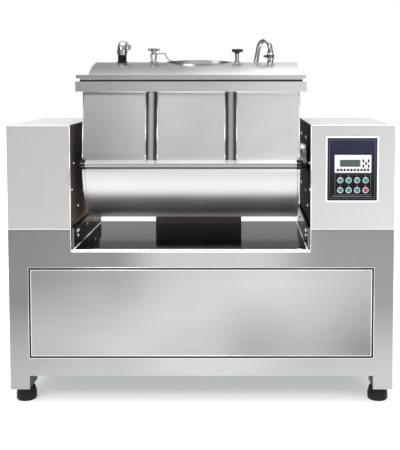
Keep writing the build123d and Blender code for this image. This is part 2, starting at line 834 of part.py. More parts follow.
def screen_spans():
    x = (display_x[0] + screen_left, display_x[0] + screen_left + screen_width)
    z = (display_z[1] - screen_drop - screen_height, display_z[1] - screen_drop)
    return x, z


def make_display_screen():
    x, z = screen_spans()
    return block(x, (display_front + screen_sunk, plate_front), z)


def button_places():
    top = console_z[1] - button_drop
    for row in range(button_rows):
        for column in range(button_columns):
            offset = (column - (button_columns - 1) / 2) * button_pitch_x
            yield controls_x + offset, top - row * button_pitch_z


def make_panel_plate():
    x, z = grow(console_x, -console_border), grow(console_z, -console_border)
    plate = block(x, (plate_front, front_face), z)
    for place_x, place_z in button_places():
        plate -= rod_y(button_radius + running_clearance, place_x, (plate_front, front_face), place_z)
    return plate


def make_membrane_keys():
    y = (display_front - key_height, display_front)
    keys = []
    for number in range(round_key_count):
        offset = (number - (round_key_count - 1) / 2) * round_key_pitch
        keys.append(rod_y(round_key_radius, controls_x + offset, y, display_z[1] - round_key_drop))
    middle = (display_x[1] - arrow_key_right, display_z[1] - arrow_key_drop)
    for across, up in ((0, 0), (-1, -1), (-1, 1), (1, -1), (1, 1)):
        x = about(middle[0] + across * arrow_key_pitch, arrow_key_size)
        keys.append(block(x, y, about(middle[1] + up * arrow_key_pitch, arrow_key_size)))
    return group(*keys)


def make_button_bezels():
    rings = []
    y = (plate_front - bezel_height, plate_front)
    for x, z in button_places():
        ring = rod_y(bezel_radius, x, y, z)
        ring = chamfer(ring.edges().sort_by(Axis.Y)[0], 1.5)
        rings.append(ring - rod_y(button_radius + running_clearance, x, y, z))
    return group(*rings)


def make_button(x, z):
    front = plate_front - bezel_height - button_proud
    cap = rod_y(button_radius, x, (front, front + button_length), z)
    return chamfer(cap.edges().sort_by(Axis.Y)[0], 1.2)


def make_control_enclosure():
    x, z = grow(console_x, -console_border), grow(console_z, -console_border)
    y = (front_face + sheet, front_face + sheet + enclosure_depth)
    return block(x, y, z) - block(grow(x, -2), (y[0], y[1] - 2), grow(z, -2))


# Tub


def make_tub_shell():
    x = (tub_left + end_plate, tub_right - end_plate)
    return along_x(tub_profile(0) - tub_profile(tub_wall), x)


def make_tub_end_plates():
    profile = tub_profile(0) - Pos(shaft_y, shaft_z) * Circle(trunnion_bore)
    return group(along_x(profile, (tub_left, tub_left + end_plate)),
                 along_x(profile, (tub_right - end_plate, tub_right)))


def gasket_spans():
    x = grow((tub_left, tub_right), rim_side_overhang - gasket_inset)
    y = about(shaft_y, 2 * (rim_half_depth - gasket_inset))
    return x, y


def make_rim_flange():
    x, y = grow((tub_left, tub_right), rim_side_overhang), about(shaft_y, 2 * rim_half_depth)
    mouth_x = grow((tub_left, tub_right), -end_plate)
    rim = block(x, y, (rim_z, rim_top))
    rim = fillet(rim.edges().filter_by(Axis.Z), 4)
    rim -= block(mouth_x, about(shaft_y, 2 * mouth_inner_half), (rim_z, rim_top))
    return rim - gasket_ring((rim_top - groove_depth, rim_top))


def gasket_ring(z):
    x, y = gasket_spans()
    return block(x, y, z) - block(grow(x, -gasket_width), grow(y, -gasket_width), z)


def make_rim_gasket():
    return gasket_ring((rim_top - groove_depth, lid_z))


def front_ribs():
    # Two upright pressed ribs on the leaning wall, run into one level rib on the drum.
    up = Vector(0, math.sin(lean), math.cos(lean))
    foot = (shaft_y - drum_radius * math.cos(lean), shaft_z + drum_radius * math.sin(lean))
    climb = (rim_z - foot[1]) / math.cos(lean) + rib_height
    sink = (foot[1] - shaft_z + belt_rib_drop - belt_rib_height / 2 + belt_rib_slope) / math.cos(lean)
    half, crest = rib_width / 2, rib_crest / 2
    section = polygon((-half, rib_root), (half, rib_root), (half, 0), (crest, -rib_height),
                      (-crest, -rib_height), (-half, 0))
    ribs = []
    for side in (-1, 1):
        origin = Vector(well_mid + side * rib_spread / 2, foot[0], foot[1]) - up * sink
        plane = Plane(origin=origin, x_dir=(1, 0, 0), z_dir=up)
        ribs.append(extrude(plane * section, sink + climb))
    z = about(shaft_z - belt_rib_drop, belt_rib_height)
    crest_z = grow(z, -belt_rib_slope)
    front = shaft_y - drum_radius
    crest_y = front - belt_rib_depth
    outline = polygon((front + rib_root, z[0]), (front, z[0]), (crest_y, crest_z[0]),
                      (crest_y, crest_z[1]), (front, z[1]), (front + rib_root, z[1]))
    whole = ribs[0] + ribs[1] + along_x(outline, (tub_left, tub_right))
    whole -= along_x(tub_profile(0), (tub_left, tub_right))
    return whole & block(grow((tub_left, tub_right), 1), about(shaft_y, 4 * drum_radius), (0, rim_z))


def mirrored_about_shaft(shape):
    return mirror(shape, about=Plane(origin=(0, shaft_y, 0), z_dir=(0, 1, 0)))


def make_stiffening_ribs():
    ribs = front_ribs()
    return group(*ribs.solids(), *mirrored_about_shaft(ribs).solids())


def make_rib_caps():
    radius = belt_rib_height / 2 - 1
    z = shaft_z - belt_rib_drop
    y = shaft_y - drum_radius - 2
    caps = []
    for x in ((tub_left - rib_cap_length, tub_left), (tub_right, tub_right + rib_cap_length)):
        cap = rod_x(radius, x, y, z)
        outer = cap.edges().sort_by(Axis.X)[0 if x[1] == tub_left else -1]
        caps.append(chamfer(outer, radius * 0.3))
    return group(*caps, *[mirrored_about_shaft(cap) for cap in caps])


def make_trunnions():
    pieces = []
    left_end = left_housing[0] - 2
    for face, tip, blind in ((tub_left, left_end, 0), (tub_right, trunnion_end, trunnion_cap)):
        side = -1 if tip < face else 1
        flange = sorted((face, face + side * trunnion_flange))
        barrel = sorted((face, tip))
        bore = sorted((face, tip - side * blind))
        body = rod_x(trunnion_radius, barrel, shaft_y, shaft_z)
        body += rod_x(trunnion_flange_radius, flange, shaft_y, shaft_z)
        pieces.append(body - rod_x(trunnion_bore, bore, shaft_y, shaft_z))
    return group(*pieces)


def make_shaft_seals():
    spans = [(tub_left - seal_length, tub_left), (left_housing[0], left_housing[0] + bush_length),
             (tub_right, tub_right + seal_length), (gear_x[0], gear_x[0] + bush_length)]
    outer, inner = trunnion_bore - running_clearance, shaft_radius + running_clearance
    return group(*[rod_x(outer, x, shaft_y, shaft_z) - rod_x(inner, x, shaft_y, shaft_z) for x in spans])


def hinge_middles():
    return (well_mid - hinge_offset, well_mid + hinge_offset)


def make_hinge_brackets():
    # Each bracket has a plate on the rim's back and two ears round the lid's knuckle, and holds a pin.
    brackets = []
    rim_back = shaft_y + rim_half_depth
    for middle in hinge_middles():
        leaf = about(middle, hinge_leaf_width)
        ears = ((leaf[0] - hinge_ear_gap - hinge_ear, leaf[0] - hinge_ear_gap),
                (leaf[1] + hinge_ear_gap, leaf[1] + hinge_ear_gap + hinge_ear))
        plate_back = hinge_y - hinge_knuckle_radius - 1
        bracket = block((ears[0][0], ears[1][1]), (rim_back, plate_back), (rim_z, rim_top - groove_depth))
        for x in ears:
            ear = block(x, (rim_back, hinge_y), (rim_z, lid_z))
            ear += rod_x(hinge_knuckle_radius, x, hinge_y, lid_z)
            ear += block(x, about(hinge_y, 2 * hinge_knuckle_radius), (rim_top, lid_z))
            bracket += ear
        reach = (ears[0][0], ears[1][1])
        brackets.append(bracket - rod_x(hinge_pin_radius + running_clearance, reach, hinge_y, lid_z))
        pin = rod_x(hinge_pin_radius, reach, hinge_y, lid_z)
        for x in ((reach[0] - hinge_pin_head, reach[0]), (reach[1], reach[1] + hinge_pin_head)):
            pin += rod_x(hinge_pin_radius + hinge_pin_head, x, hinge_y, lid_z)
        brackets.append(pin)
    return group(*brackets)


# Lid


def make_lid_shell():
    # A thick plate with a mouth, a rolled sheet over it and two end walls, welded along their edges.
    x, y = (lid_left, lid_right), about(shaft_y, 2 * (rim_half_depth - lid_inset))
    outer_x = (vault_left, vault_right)
    inner_x = grow(outer_x, -lid_sheet)
    plate = fillet(block(x, y, (lid_z, lid_top)).edges().filter_by(Axis.Z), 4)
    plate -= block(inner_x, about(shaft_y, 2 * (vault_half_depth - lid_plate)), (lid_z, lid_top))
    roof = along_x(vault_profile(0) - vault_profile(lid_sheet), inner_x)
    roof -= rod_z(vacuum_bore, vacuum_x, shaft_y, (lid_top, crown_z))
    for place in (pipe_foot, valve_foot):
        roof -= rod_z(pipe_radius - 3, *place, (lid_top, crown_z))
    ends = [along_x(vault_profile(0), span)
            for span in ((outer_x[0], inner_x[0]), (inner_x[1], outer_x[1]))]
    return group(plate, roof, *ends)


def vault_cutter():
    return along_x(vault_profile(0), (vault_left, vault_right))


def make_inspection_hatch():
    # An oval cover that follows the vault across and swells in the middle along its length.
    middle = well_mid + (hatch_left + hatch_right) / 2
    half_length = (hatch_right - hatch_left) / 2
    rise = hatch_thickness - hatch_edge
    swell_radius = (half_length ** 2 + rise ** 2) / (2 * rise)
    reach = (crown_z - vault_rise, crown_z + hatch_thickness)
    oval = Pos(middle, shaft_y, reach[0]) * Ellipse(half_length, hatch_depth / 2)
    cover = extrude(oval, reach[1] - reach[0])
    cover &= rod_x(vault_radius + hatch_thickness, about(middle, 3 * half_length), shaft_y, vault_centre_z)
    cover &= rod_y(swell_radius, middle, about(shaft_y, 2 * hatch_depth), reach[1] - swell_radius)
    return cover - vault_cutter()


def hatch_strap():
    # A flat bar from under the left knob, bent down in a quarter turn to rest on the hatch.
    knob_x = well_mid + left_knob_x
    low_z = crown_z + hatch_edge
    centre = Pos(knob_x + strap_reach, low_z + strap_bend)
    ring = centre * (Circle(strap_bend) - Circle(strap_bend - strap_thickness))
    bend = ring & rect((knob_x + strap_reach - strap_bend, knob_x + strap_reach), (low_z, low_z + strap_bend))
    arm_z = (low_z + strap_bend - strap_thickness, low_z + strap_bend)
    arm = rect((knob_x, knob_x + strap_reach - strap_bend + strap_thickness), arm_z)
    return along_y(bend + arm, about(shaft_y, strap_width))


def make_clamp_posts():
    left_x, right_x = well_mid + left_knob_x, well_mid + right_knob_x
    top = crown_z + left_knob_rise
    collar = 8.0
    left = rod_z(knob_stud_radius, left_x, shaft_y, (top - 12, top + knob_height - 4))
    left += rod_z(fork_radius + 6, left_x, shaft_y, (top - 12, top - 1))
    for side in (-1, 1):
        height = top - 6 - (crown_z - collar)
        reach = fork_spread - fork_radius
        tilt = math.degrees(math.atan2(reach, height))
        leg = Rot(0, side * tilt, 0) * Cylinder(fork_radius, math.hypot(reach, height))
        middle_x = left_x + side * (fork_spread + fork_radius) / 2
        left += Pos(middle_x, shaft_y, (top - 6 + crown_z - collar) / 2) * leg
    left += rod_z(fork_spread + fork_radius + 3, left_x, shaft_y, (crown_z - collar, crown_z + 3))
    left += hatch_strap() - make_inspection_hatch()
    top = crown_z + right_knob_rise
    right = rod_z(knob_stud_radius, right_x, shaft_y, (crown_z, top + knob_height - 4))
    right += rod_z(stem_radius, right_x, shaft_y, (crown_z, top - 1))
    right += rod_z(stem_radius + 8, right_x, shaft_y, (crown_z - collar, crown_z + 4))
    cutter = vault_cutter()
    return group(left - cutter, right - cutter)


def star_knob(x, base_z):
    # A five-lobed clamping knob with a short hub and a bore for its stud.
    reach = knob_reach - knob_lobe_radius
    outline = Circle(knob_core_radius)
    for number in range(knob_lobes):
        turn = Rot(0, 0, number * 360 / knob_lobes)
        outline += turn * (Pos(reach / 2, 0) * Rectangle(reach, 1.7 * knob_lobe_radius))
        outline += turn * Pos(reach, 0) * Circle(knob_lobe_radius)
    head = extrude(Pos(x, shaft_y, base_z + knob_height / 3) * outline, knob_height * 2 / 3)
    head = chamfer(head.faces().sort_by(Axis.Z)[-1].edges(), 2)
    hub = rod_z(knob_core_radius - 4, x, shaft_y, (base_z, base_z + knob_height / 3))
    bore = (base_z, base_z + knob_height - 3)
    return head + hub - rod_z(knob_stud_radius + running_clearance, x, shaft_y, bore)


def make_left_knob():
    return star_knob(well_mid + left_knob_x, crown_z + left_knob_rise)


def make_right_knob():
    return star_knob(well_mid + right_knob_x, crown_z + right_knob_rise)


def make_vacuum_stub():
    # A ribbed rubber sleeve between the lid and the chrome elbow.
    x = vacuum_x
    sleeve = rod_z(vacuum_stub_radius - 2, x, shaft_y, (crown_z - 4, crown_z + vacuum_stub_height))
    rib_count = 4
    pitch = vacuum_stub_height / rib_count
    for number in range(rib_count):
        low = crown_z + (number + 0.25) * pitch
        sleeve += rod_z(vacuum_stub_radius, x, shaft_y, (low, low + pitch / 2))
    sleeve += rod_z(vacuum_stub_radius + 5, x, shaft_y, (crown_z - 4, crown_z + 3))
    sleeve -= rod_z(vacuum_bore, x, shaft_y, (crown_z - 10, crown_z + vacuum_stub_height))
    return sleeve - vault_cutter()


def make_vacuum_elbow():
    x = vacuum_x
    base = crown_z + vacuum_stub_height
    ring_z = base + vacuum_neck
    bend_z = ring_z + vacuum_ring
    level = bend_z + vacuum_bend_radius
    start = (x, shaft_y, base)
    path = Line(start, (x, shaft_y, bend_z))
    middle = 1 - math.sqrt(0.5)
    path += ThreePointArc((x, shaft_y, bend_z),
                          (x, shaft_y + middle * vacuum_bend_radius,
                           bend_z + math.sqrt(0.5) * vacuum_bend_radius),
                          (x, shaft_y + vacuum_bend_radius, level))
    tail_y = shaft_y + vacuum_bend_radius
    path += Line((x, tail_y, level), (x, tail_y + vacuum_tail, level))
    outer = sweep(Pos(*start) * Circle(vacuum_pipe_radius), path)
    inner = sweep(Pos(*start) * Circle(vacuum_pipe_radius - 3), path)
    outer += rod_z(vacuum_ring_radius, x, shaft_y, (ring_z, bend_z))
    turn_x = x + vacuum_pipe_radius + nipple_reach
    nipple = rod_x(nipple_radius, (x + vacuum_pipe_radius - 4, turn_x + nipple_radius), shaft_y, bend_z + 10)
    nipple += rod_z(nipple_radius, turn_x, shaft_y, (bend_z + 4, bend_z + nipple_height))
    nipple += rod_z(nipple_radius + 3, turn_x, shaft_y,
                    (bend_z + nipple_height - 8, bend_z + nipple_height + 4))
    return outer + nipple - inner


def make_water_pipe():
    # The arch stands in an upright plane between its back and front feet: a leaning leg, two bends
    # that nearly meet at the top, and an upright leg into the valve.
    back, front = pipe_foot, valve_foot
    top = crown_z + pipe_top - pipe_radius
    foot = vault_height(pipe_back[1]) - pipe_radius

    def at(share, z):
        return (back[0] + share * (front[0] - back[0]), back[1] + share * (front[1] - back[1]), z)

    span = math.dist(back, front)
    turn = math.pi / 2 - math.atan2(pipe_corner_share * span, top - foot)
    valve_top = crown_z + valve_height
    bend = min(((1 - pipe_corner_share) * span - pipe_straight) / (1 + math.tan(turn / 2)),
               top - valve_top - pipe_straight)
    points = [at(0, foot), at(pipe_corner_share, top), at(1, top), at(1, valve_top)]
    path = FilletPolyline(*points, radius=bend)
    start = Plane(origin=points[0], z_dir=Vector(*points[1]) - Vector(*points[0]))
    outer = sweep(start * Circle(pipe_radius), path)
    inner = sweep(start * Circle(pipe_radius - pipe_wall), path)
    return outer - inner - vault_cutter()


def make_ball_valve():
    x, y = valve_foot
    top = crown_z + valve_height
    body = rod_z(valve_end_radius, x, y, (crown_z - 12, top))
    middle_span = rod_z(valve_radius, x, y, (crown_z + valve_end, top - valve_end))
    body += chamfer(middle_span.edges().filter_by(GeomType.CIRCLE), 3.5)
    middle = (crown_z + top) / 2
    body += rod_y(valve_stem_radius + 4, x, (y - valve_radius - 2, y), middle)
    body += rod_y(valve_stem_radius, x, (y - valve_radius - 2 - valve_stem_length, y), middle)
    body -= rod_z(valve_end_radius - 6, x, y, (crown_z - 20, top))
    return body - vault_cutter()


def make_valve_lever():
    x, y = valve_foot
    middle = crown_z + valve_height / 2
    back = y - valve_radius - 2 - 1
    span = (back - lever_thickness, back)
    blade = block((x - lever_length, x), span, about(middle, lever_width))
    blade = fillet(blade.edges().filter_by(Axis.Y).sort_by(Axis.X)[:2], lever_width * 0.45)
    blade += rod_y(lever_hub_radius, x, span, middle)
    return blade - rod_y(valve_stem_radius + running_clearance, x, span, middle)


def make_hinge_leaves():
    leaves = []
    lid_back = shaft_y + rim_half_depth - lid_inset
    for middle in hinge_middles():
        x = about(middle, hinge_leaf_width)
        leaf = rod_x(hinge_knuckle_radius, x, hinge_y, lid_z)
        leaf += block(x, (lid_back, hinge_y), (lid_z + 1, lid_z + 1 + hinge_plate))
        leaf += block(x, (shaft_y + vault_half_depth, hinge_y), (lid_top, lid_top + hinge_plate))
        leaf += block(x, (hinge_y - hinge_plate, hinge_y), (lid_z, lid_top + hinge_plate))
        leaf -= rod_x(hinge_pin_radius + running_clearance, x, hinge_y, lid_z)
        leaves.append(leaf)
    return group(*leaves)


# Mixing shaft


def paddle_places():
    inner = (tub_left + end_plate, tub_right - end_plate)
    first = inner[0] + paddle_end_gap + paddle_width / 2
    last = inner[1] - paddle_end_gap - paddle_width / 2
    step = (last - first) / (paddle_count - 1)
    return [(first + number * step, number * 360 / paddle_count) for number in range(paddle_count)]


def make_mixing_shaft():
    shaft = rod_x(shaft_radius, (reducer_x[0], gear_x[0] + bush_length), shaft_y, shaft_z)
    for x, angle in paddle_places():
        hexagon = Rot(0, 0, angle) * RegularPolygon(hub_across_flats / 2, 6, major_radius=False)
        shaft += along_x(Pos(shaft_y, shaft_z) * hexagon, about(x, hub_length))
    return shaft


def make_mixing_paddles():
    # Each paddle is a bolted pad, a tapered arm and a curved blade set askew to the shaft.
    seat = hub_across_flats / 2
    pad_top = seat + arm_pad_thickness
    blade_low = tip_radius - paddle_depth
    pad = block(about(0, arm_pad_size), about(0, arm_pad_size), (seat, pad_top))
    arm_length = blade_low + 12 - pad_top
    arm = Pos(0, 0, pad_top + arm_length / 2) * Cone(arm_root_radius, arm_tip_radius, arm_length)
    arc_middle = paddle_curve_radius - paddle_thickness / 2
    curve = Circle(paddle_curve_radius) - Circle(paddle_curve_radius - paddle_thickness)
    curve = Pos(0, -arc_middle) * curve
    curve &= rect(about(0, paddle_width), (-paddle_curve_radius / 2, paddle_thickness))
    blade = extrude(Pos(0, 0, blade_low) * Rot(0, 0, paddle_skew) * curve, paddle_depth + 10)
    blade &= rod_x(tip_radius, about(0, 2 * paddle_width), 0, 0)
    paddle = pad + arm + blade
    return group(*[Pos(x, shaft_y, shaft_z) * Rot(angle, 0, 0) * paddle for x, angle in paddle_places()])


nodes = {
    "levelling_feet": make_levelling_feet(),
    "base_tray": make_base_tray(),
    "base_frame": make_base_frame(),
    "front_skin": make_front_skin(),
    "front_access_panel": make_front_access_panel(),
    "side_skins": make_side_skins(),
    "rear_skin": make_rear_skin(),
    "cable_gland": make_cable_gland(),
    "well_floor": make_well_floor(),
    "well_walls": make_well_walls(),
    "well_rails": make_well_rails(),
    "rear_service_box": make_rear_service_box(),
    "left_tower_cover": make_left_tower_cover(),
    "right_tower_cover": make_right_tower_cover(),
    "trunnion_bearings": make_trunnion_bearings(),
    "main_motor": make_main_motor(),
    "motor_pulley": make_motor_pulley(),
    "reducer_pulley": make_reducer_pulley(),
    "drive_belts": make_drive_belts(),
    "shaft_reducer": make_shaft_reducer(),
    "tilt_gearmotor": make_tilt_gearmotor(),
    "tilt_pinion": make_tilt_pinion(),
    "tilt_gear": make_tilt_gear(),
    "vacuum_pump": make_vacuum_pump(),
    "control_enclosure": make_control_enclosure(),
    "panel_frame": make_panel_frame(),
    "panel_plate": make_panel_plate(),
    "display_screen": make_display_screen(),
    "membrane_keys": make_membrane_keys(),
    "button_bezels": make_button_bezels(),
    "tub_shell": make_tub_shell(),
    "tub_end_plates": make_tub_end_plates(),
    "rim_flange": make_rim_flange(),
    "stiffening_ribs": make_stiffening_ribs(),
    "rib_caps": make_rib_caps(),
    "rim_gasket": make_rim_gasket(),
    "trunnions": make_trunnions(),
    "shaft_seals": make_shaft_seals(),
    "hinge_brackets": make_hinge_brackets(),
    "lid_shell": make_lid_shell(),
    "hinge_leaves": make_hinge_leaves(),
    "inspection_hatch": make_inspection_hatch(),
    "clamp_posts": make_clamp_posts(),
    "left_knob": make_left_knob(),
    "right_knob": make_right_knob(),
    "vacuum_stub": make_vacuum_stub(),
    "vacuum_elbow": make_vacuum_elbow(),
    "water_pipe": make_water_pipe(),
    "ball_valve": make_ball_valve(),
    "valve_lever": make_valve_lever(),
    "mixing_shaft": make_mixing_shaft(),
    "mixing_paddles": make_mixing_paddles(),
}
for number, (x, z) in enumerate(button_places(), start=1):
    nodes[f"button_{number}"] = make_button(x, z)

os.makedirs("parts", exist_ok=True)
for name, shape in nodes.items():
    export_step(shape, f"parts/{name}.step")
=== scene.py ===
import math

import bmesh
import bpy
from mathutils import Matrix, Vector


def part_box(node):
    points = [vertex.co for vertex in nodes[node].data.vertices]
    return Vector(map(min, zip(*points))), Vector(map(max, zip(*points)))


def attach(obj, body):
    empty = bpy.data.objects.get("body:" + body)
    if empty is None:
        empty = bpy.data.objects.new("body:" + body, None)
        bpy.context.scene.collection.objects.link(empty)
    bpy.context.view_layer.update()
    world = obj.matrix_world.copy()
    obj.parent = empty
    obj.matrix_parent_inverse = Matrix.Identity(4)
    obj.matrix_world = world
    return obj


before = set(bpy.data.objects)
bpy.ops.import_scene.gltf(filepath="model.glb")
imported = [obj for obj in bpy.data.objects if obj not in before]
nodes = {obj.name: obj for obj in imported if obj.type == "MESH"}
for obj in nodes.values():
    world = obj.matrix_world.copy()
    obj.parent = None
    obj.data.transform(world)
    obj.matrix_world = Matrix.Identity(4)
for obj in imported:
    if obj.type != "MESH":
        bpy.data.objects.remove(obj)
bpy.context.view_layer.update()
print("frame loaded:", len(nodes), "nodes")


# Settings of the camera, the studio and its lamps

camera = {
    "place": (0.2046, -4.362, 1.595),
    "lens": 65.76,
    "pitchDown": 3.6,        # degrees
    "shift": (-0.0956, -0.2107),
}
studio = {
    "horizon": 0.80,
    "low": 0.62,             # a little above the horizon
    "overhead": 1.35,
    "sideShade": 0.75,
    "horizonTop": 0.16,      # heights in the sky run from -1 underfoot to 1 overhead
    "lowTop": 0.5,
    "openFrom": 0.9,
    "overheadRise": (0.45, 0.85),
    "sideReach": (0.35, 0.75),
    "sideFade": (0.3, 0.8),
    "background": 1.0,
    "floorTone": 0.86,
    "floorGlow": 0.42,
    "floorRoughness": 0.9,
    "floorSize": 60.0,
}
lamps = {
    "key": {"place": (-2.5, -4.5, 4.2), "aim": (0, 0, 1.0), "size": (2.5, 2.0), "power": 90},
    "fill": {"place": (3.5, -3.5, 2.5), "aim": (0, 0, 0.9), "size": (2.0, 2.5), "power": 30},
    "top": {"place": (0.0, 0.5, 5.0), "aim": (0, 0, 1.2), "size": (4.0, 2.5), "power": 90},
}


# Steps that several sections share

def newObject(name, data):
    made = bpy.data.objects.new(name, data)
    bpy.context.scene.collection.objects.link(made)
    return made


def meshFrom(name, made):
    mesh = bpy.data.meshes.new(name)
    made.to_mesh(mesh)
    made.free()
    return mesh


def settledMesh(holder):
    # The mesh that an object has once its modifiers or its text are worked out.
    state = bpy.context.evaluated_depsgraph_get()
    return bpy.data.meshes.new_from_object(holder.evaluated_get(state))


# Shader maths

class Wire:
    # A shader socket that takes part in Python arithmetic by adding Math nodes.
    def __init__(self, finish, socket):
        self.finish = finish
        self.socket = socket

    def maths(self, operation, first, second=0.0):
        return self.finish.add("Math", {"operation": operation}, {0: first, 1: second})

    def __add__(self, other):
        return self.maths("ADD", self, other)

    def __radd__(self, other):
        return self.maths("ADD", other, self)

    def __sub__(self, other):
        return self.maths("SUBTRACT", self, other)

    def __rsub__(self, other):
        return self.maths("SUBTRACT", other, self)

    def __mul__(self, other):
        return self.maths("MULTIPLY", self, other)

    def __rmul__(self, other):
        return self.maths("MULTIPLY", other, self)


    def above(self, other):
        return self.maths("GREATER_THAN", self, other)

    def below(self, other):
        return self.maths("LESS_THAN", self, other)

    def size(self):
        return self.maths("ABSOLUTE", self)

    def spread(self, fromLow, fromHigh, toLow, toHigh):
        return self.finish.add("MapRange", {"clamp": True},
                               {0: self, 1: fromLow, 2: fromHigh, 3: toLow, 4: toHigh})


class Nodes:
    # A node tree, and one way to add nodes to it.
    def __init__(self, tree):
        self.tree = tree

    def split(self, place):
        return [self.add("SeparateXYZ", {}, {0: place}, output=axis) for axis in range(3)]

    def add(self, kind, settings=None, inputs=None, output=0):
        made = self.tree.nodes.new("ShaderNode" + kind)
        for key, value in (settings or {}).items():
            if key == "stops":
                self.setStops(made.color_ramp, value)
            else:
                setattr(made, key, value)
        for key, value in (inputs or {}).items():
            self.feed(made.inputs[key], value)
        return Wire(self, made.outputs[output])

    def setStops(self, ramp, stops):
        while len(ramp.elements) < len(stops):
            ramp.elements.new(1.0)
        for element, (position, color) in zip(ramp.elements, stops):
            element.position = position
            element.color = (*color, 1)
        ramp.interpolation = "EASE"

    def feed(self, socket, value):
        if isinstance(value, Wire):
            self.tree.links.new(value.socket, socket)
        else:
            socket.default_value = value

    def noise(self, stretch, detail=3.0, roughness=0.5, offset=0.0):
        place = self.add("Mapping", {}, {"Vector": self.place, "Location": (offset, offset, offset),
                                         "Scale": stretch})
        return self.add("TexNoise", {}, {"Vector": place, "Scale": 1.0, "Detail": detail,
                                         "Roughness": roughness})

    def mix(self, share, first, second):
        made = self.tree.nodes.new("ShaderNodeMix")
        made.data_type = "RGBA"
        colors = [socket for socket in made.inputs if socket.type == "RGBA"]
        self.feed(made.inputs[0], share)
        self.feed(colors[0], (*first, 1) if isinstance(first, tuple) else first)
        self.feed(colors[1], (*second, 1) if isinstance(second, tuple) else second)
        result = [socket for socket in made.outputs if socket.type == "RGBA"][0]
        return Wire(self, result)

    def tones(self, along, stops):
        # A smooth run of tones between a few (place, tone) stops.
        first, last = stops[0][0], stops[-1][0]
        ramp = [((place - first) / (last - first), (tone,) * 3) for place, tone in stops]
        return self.add("ValToRGB", {"stops": ramp}, {0: along.spread(first, last, 0, 1)})


class Finish(Nodes):
    # A new material with its shader and its Object coordinates.
    def __init__(self, name, **fixed):
        self.material = bpy.data.materials.new(name)
        self.material.use_nodes = True
        super().__init__(self.material.node_tree)
        self.shader = self.tree.nodes["Principled BSDF"]
        for socket, value in fixed.items():
            self.shader.inputs[socket.replace("_", " ")].default_value = value
        self.place = self.add("TexCoord", output="Object")
        self.x, self.y, self.z = self.split(self.place)

    def bump(self, height, strength, distance):
        normal = self.add("Bump", {}, {"Strength": strength, "Distance": distance, "Height": height})
        self.feed(self.shader.inputs["Normal"], normal)

    def set(self, socket, value):
        self.feed(self.shader.inputs[socket], value)


# Finishes

brushed = {
    "fine": 900.0,           # noise scales across the lines
    "coarse": 180.0,
    "length": 3.0,           # and along them
    "coarseOffset": 3.7,
    "cloudDetail": 1.5,
    "wearScale": 7.0,
    "wearOffset": 5.3,
    "wearRoughness": 0.1,
    "streakRoughness": 0.08,
    "streakHeight": 0.6,
    "depth": 0.0004,
}


def brushedScale(run, across, length):
    # Noise scales for lines that run along one axis.
    return tuple(length if axis == run else across for axis in "XYZ")


def steel(name, tones, lowPaintedTones=None, fall=(0.1, 0.6), run="X", along="x", lowAlong="x", rough=0.3,
          toneAndReflectionClouds=0.1, lines=0.03, cloudSize=(1.6, 1.6, 2.4), tint=(1, 1, 1), slant=0.0, bump=0.04,
          extra=None, edgeTint=(1, 1, 1, 1)):
    # Brushed sheet: a run of tones, which on most sheets paints reflected light and shade, fine lines along
    # one axis, soft clouds of random tone and painted reflection, and a few worn patches.
    made = Finish(name, Metallic=1.0, Specular_Tint=edgeTint)
    own = brushed
    hair = made.noise(brushedScale(run, own["fine"], own["length"]), detail=2.0)
    streak = made.noise(brushedScale(run, own["coarse"], own["length"] / 3), detail=2.0,
                        offset=own["coarseOffset"])
    turned = made.add("Mapping", {}, {"Vector": made.place, "Rotation": (0, math.radians(slant), 0),
                                      "Scale": cloudSize})
    toneAndReflectionCloud = made.add("TexNoise", {}, {"Vector": turned, "Scale": 1.0, "Detail": own["cloudDetail"]})
    axes = {"x": made.x, "y": made.y, "z": made.z}
    # Where the tones run, they paint reflected light and shade along one axis; the low tones paint a second
    # run lower down, blended in over the fall.
    if callable(tones):
        tone = tones(made)
    elif isinstance(tones, tuple):
        tone = made.tones(axes[along], tones)
    else:
        tone = tones
    if lowPaintedTones:
        share = made.z.spread(*fall, 0, 1)
        tone = share * tone + (1 - share) * made.tones(axes[lowAlong], lowPaintedTones)
    # Clouds of random tone and painted reflection, then the brushed lines.
    tone = tone * (1 + toneAndReflectionClouds * 2 * (toneAndReflectionCloud - 0.5)) + lines * (hair - 0.5) + lines * (streak - 0.5)
    color = made.mix(tone, (0, 0, 0), tint)
    if extra:
        for mask, second in extra(made):
            color = made.mix(mask, color, second)
    made.set("Base Color", color)
    wear = made.noise((own["wearScale"],) * 3, detail=4.0, offset=own["wearOffset"])
    made.set("Roughness", rough + own["wearRoughness"] * (wear - 0.5)
             + own["streakRoughness"] * (streak - 0.5))
    made.bump(hair + own["streakHeight"] * streak, bump, own["depth"])
    return made.material


grained = {
    "fineScale": 12,         # shares of the material's own grain
    "broadScale": 0.15,
    "broadOffset": 2.2,
    "unevenRoughness": 0.15,
    "coatRoughness": 0.08,
    "depth": 0.0003,
}


def plain(name, color, rough, metallic=0.0, coat=0.0, grain=60.0, bump=0.05, variation=0.12, specular=0.5,
          extra=None):
    # Paint, rubber or plastic with a fine grain and a little unevenness in its tone.
    own = grained
    made = Finish(name, Metallic=metallic, Coat_Weight=coat, Coat_Roughness=own["coatRoughness"],
                  Specular_IOR_Level=specular)
    fine = made.noise((grain * own["fineScale"],) * 3, detail=3.0)
    broad = made.noise((grain * own["broadScale"],) * 3, detail=2.0, offset=own["broadOffset"])
    low = tuple(channel * (1 - variation) for channel in color)
    high = tuple(min(channel * (1 + variation), 1.0) for channel in color)
    shade = made.mix(broad, low, high)
    if extra:
        for mask, second in extra(made):
            shade = made.mix(mask, shade, second)
    made.set("Base Color", shade)
    made.set("Roughness", rough + own["unevenRoughness"] * (broad - 0.5))
    made.bump(fine, bump, own["depth"])
    return made.material
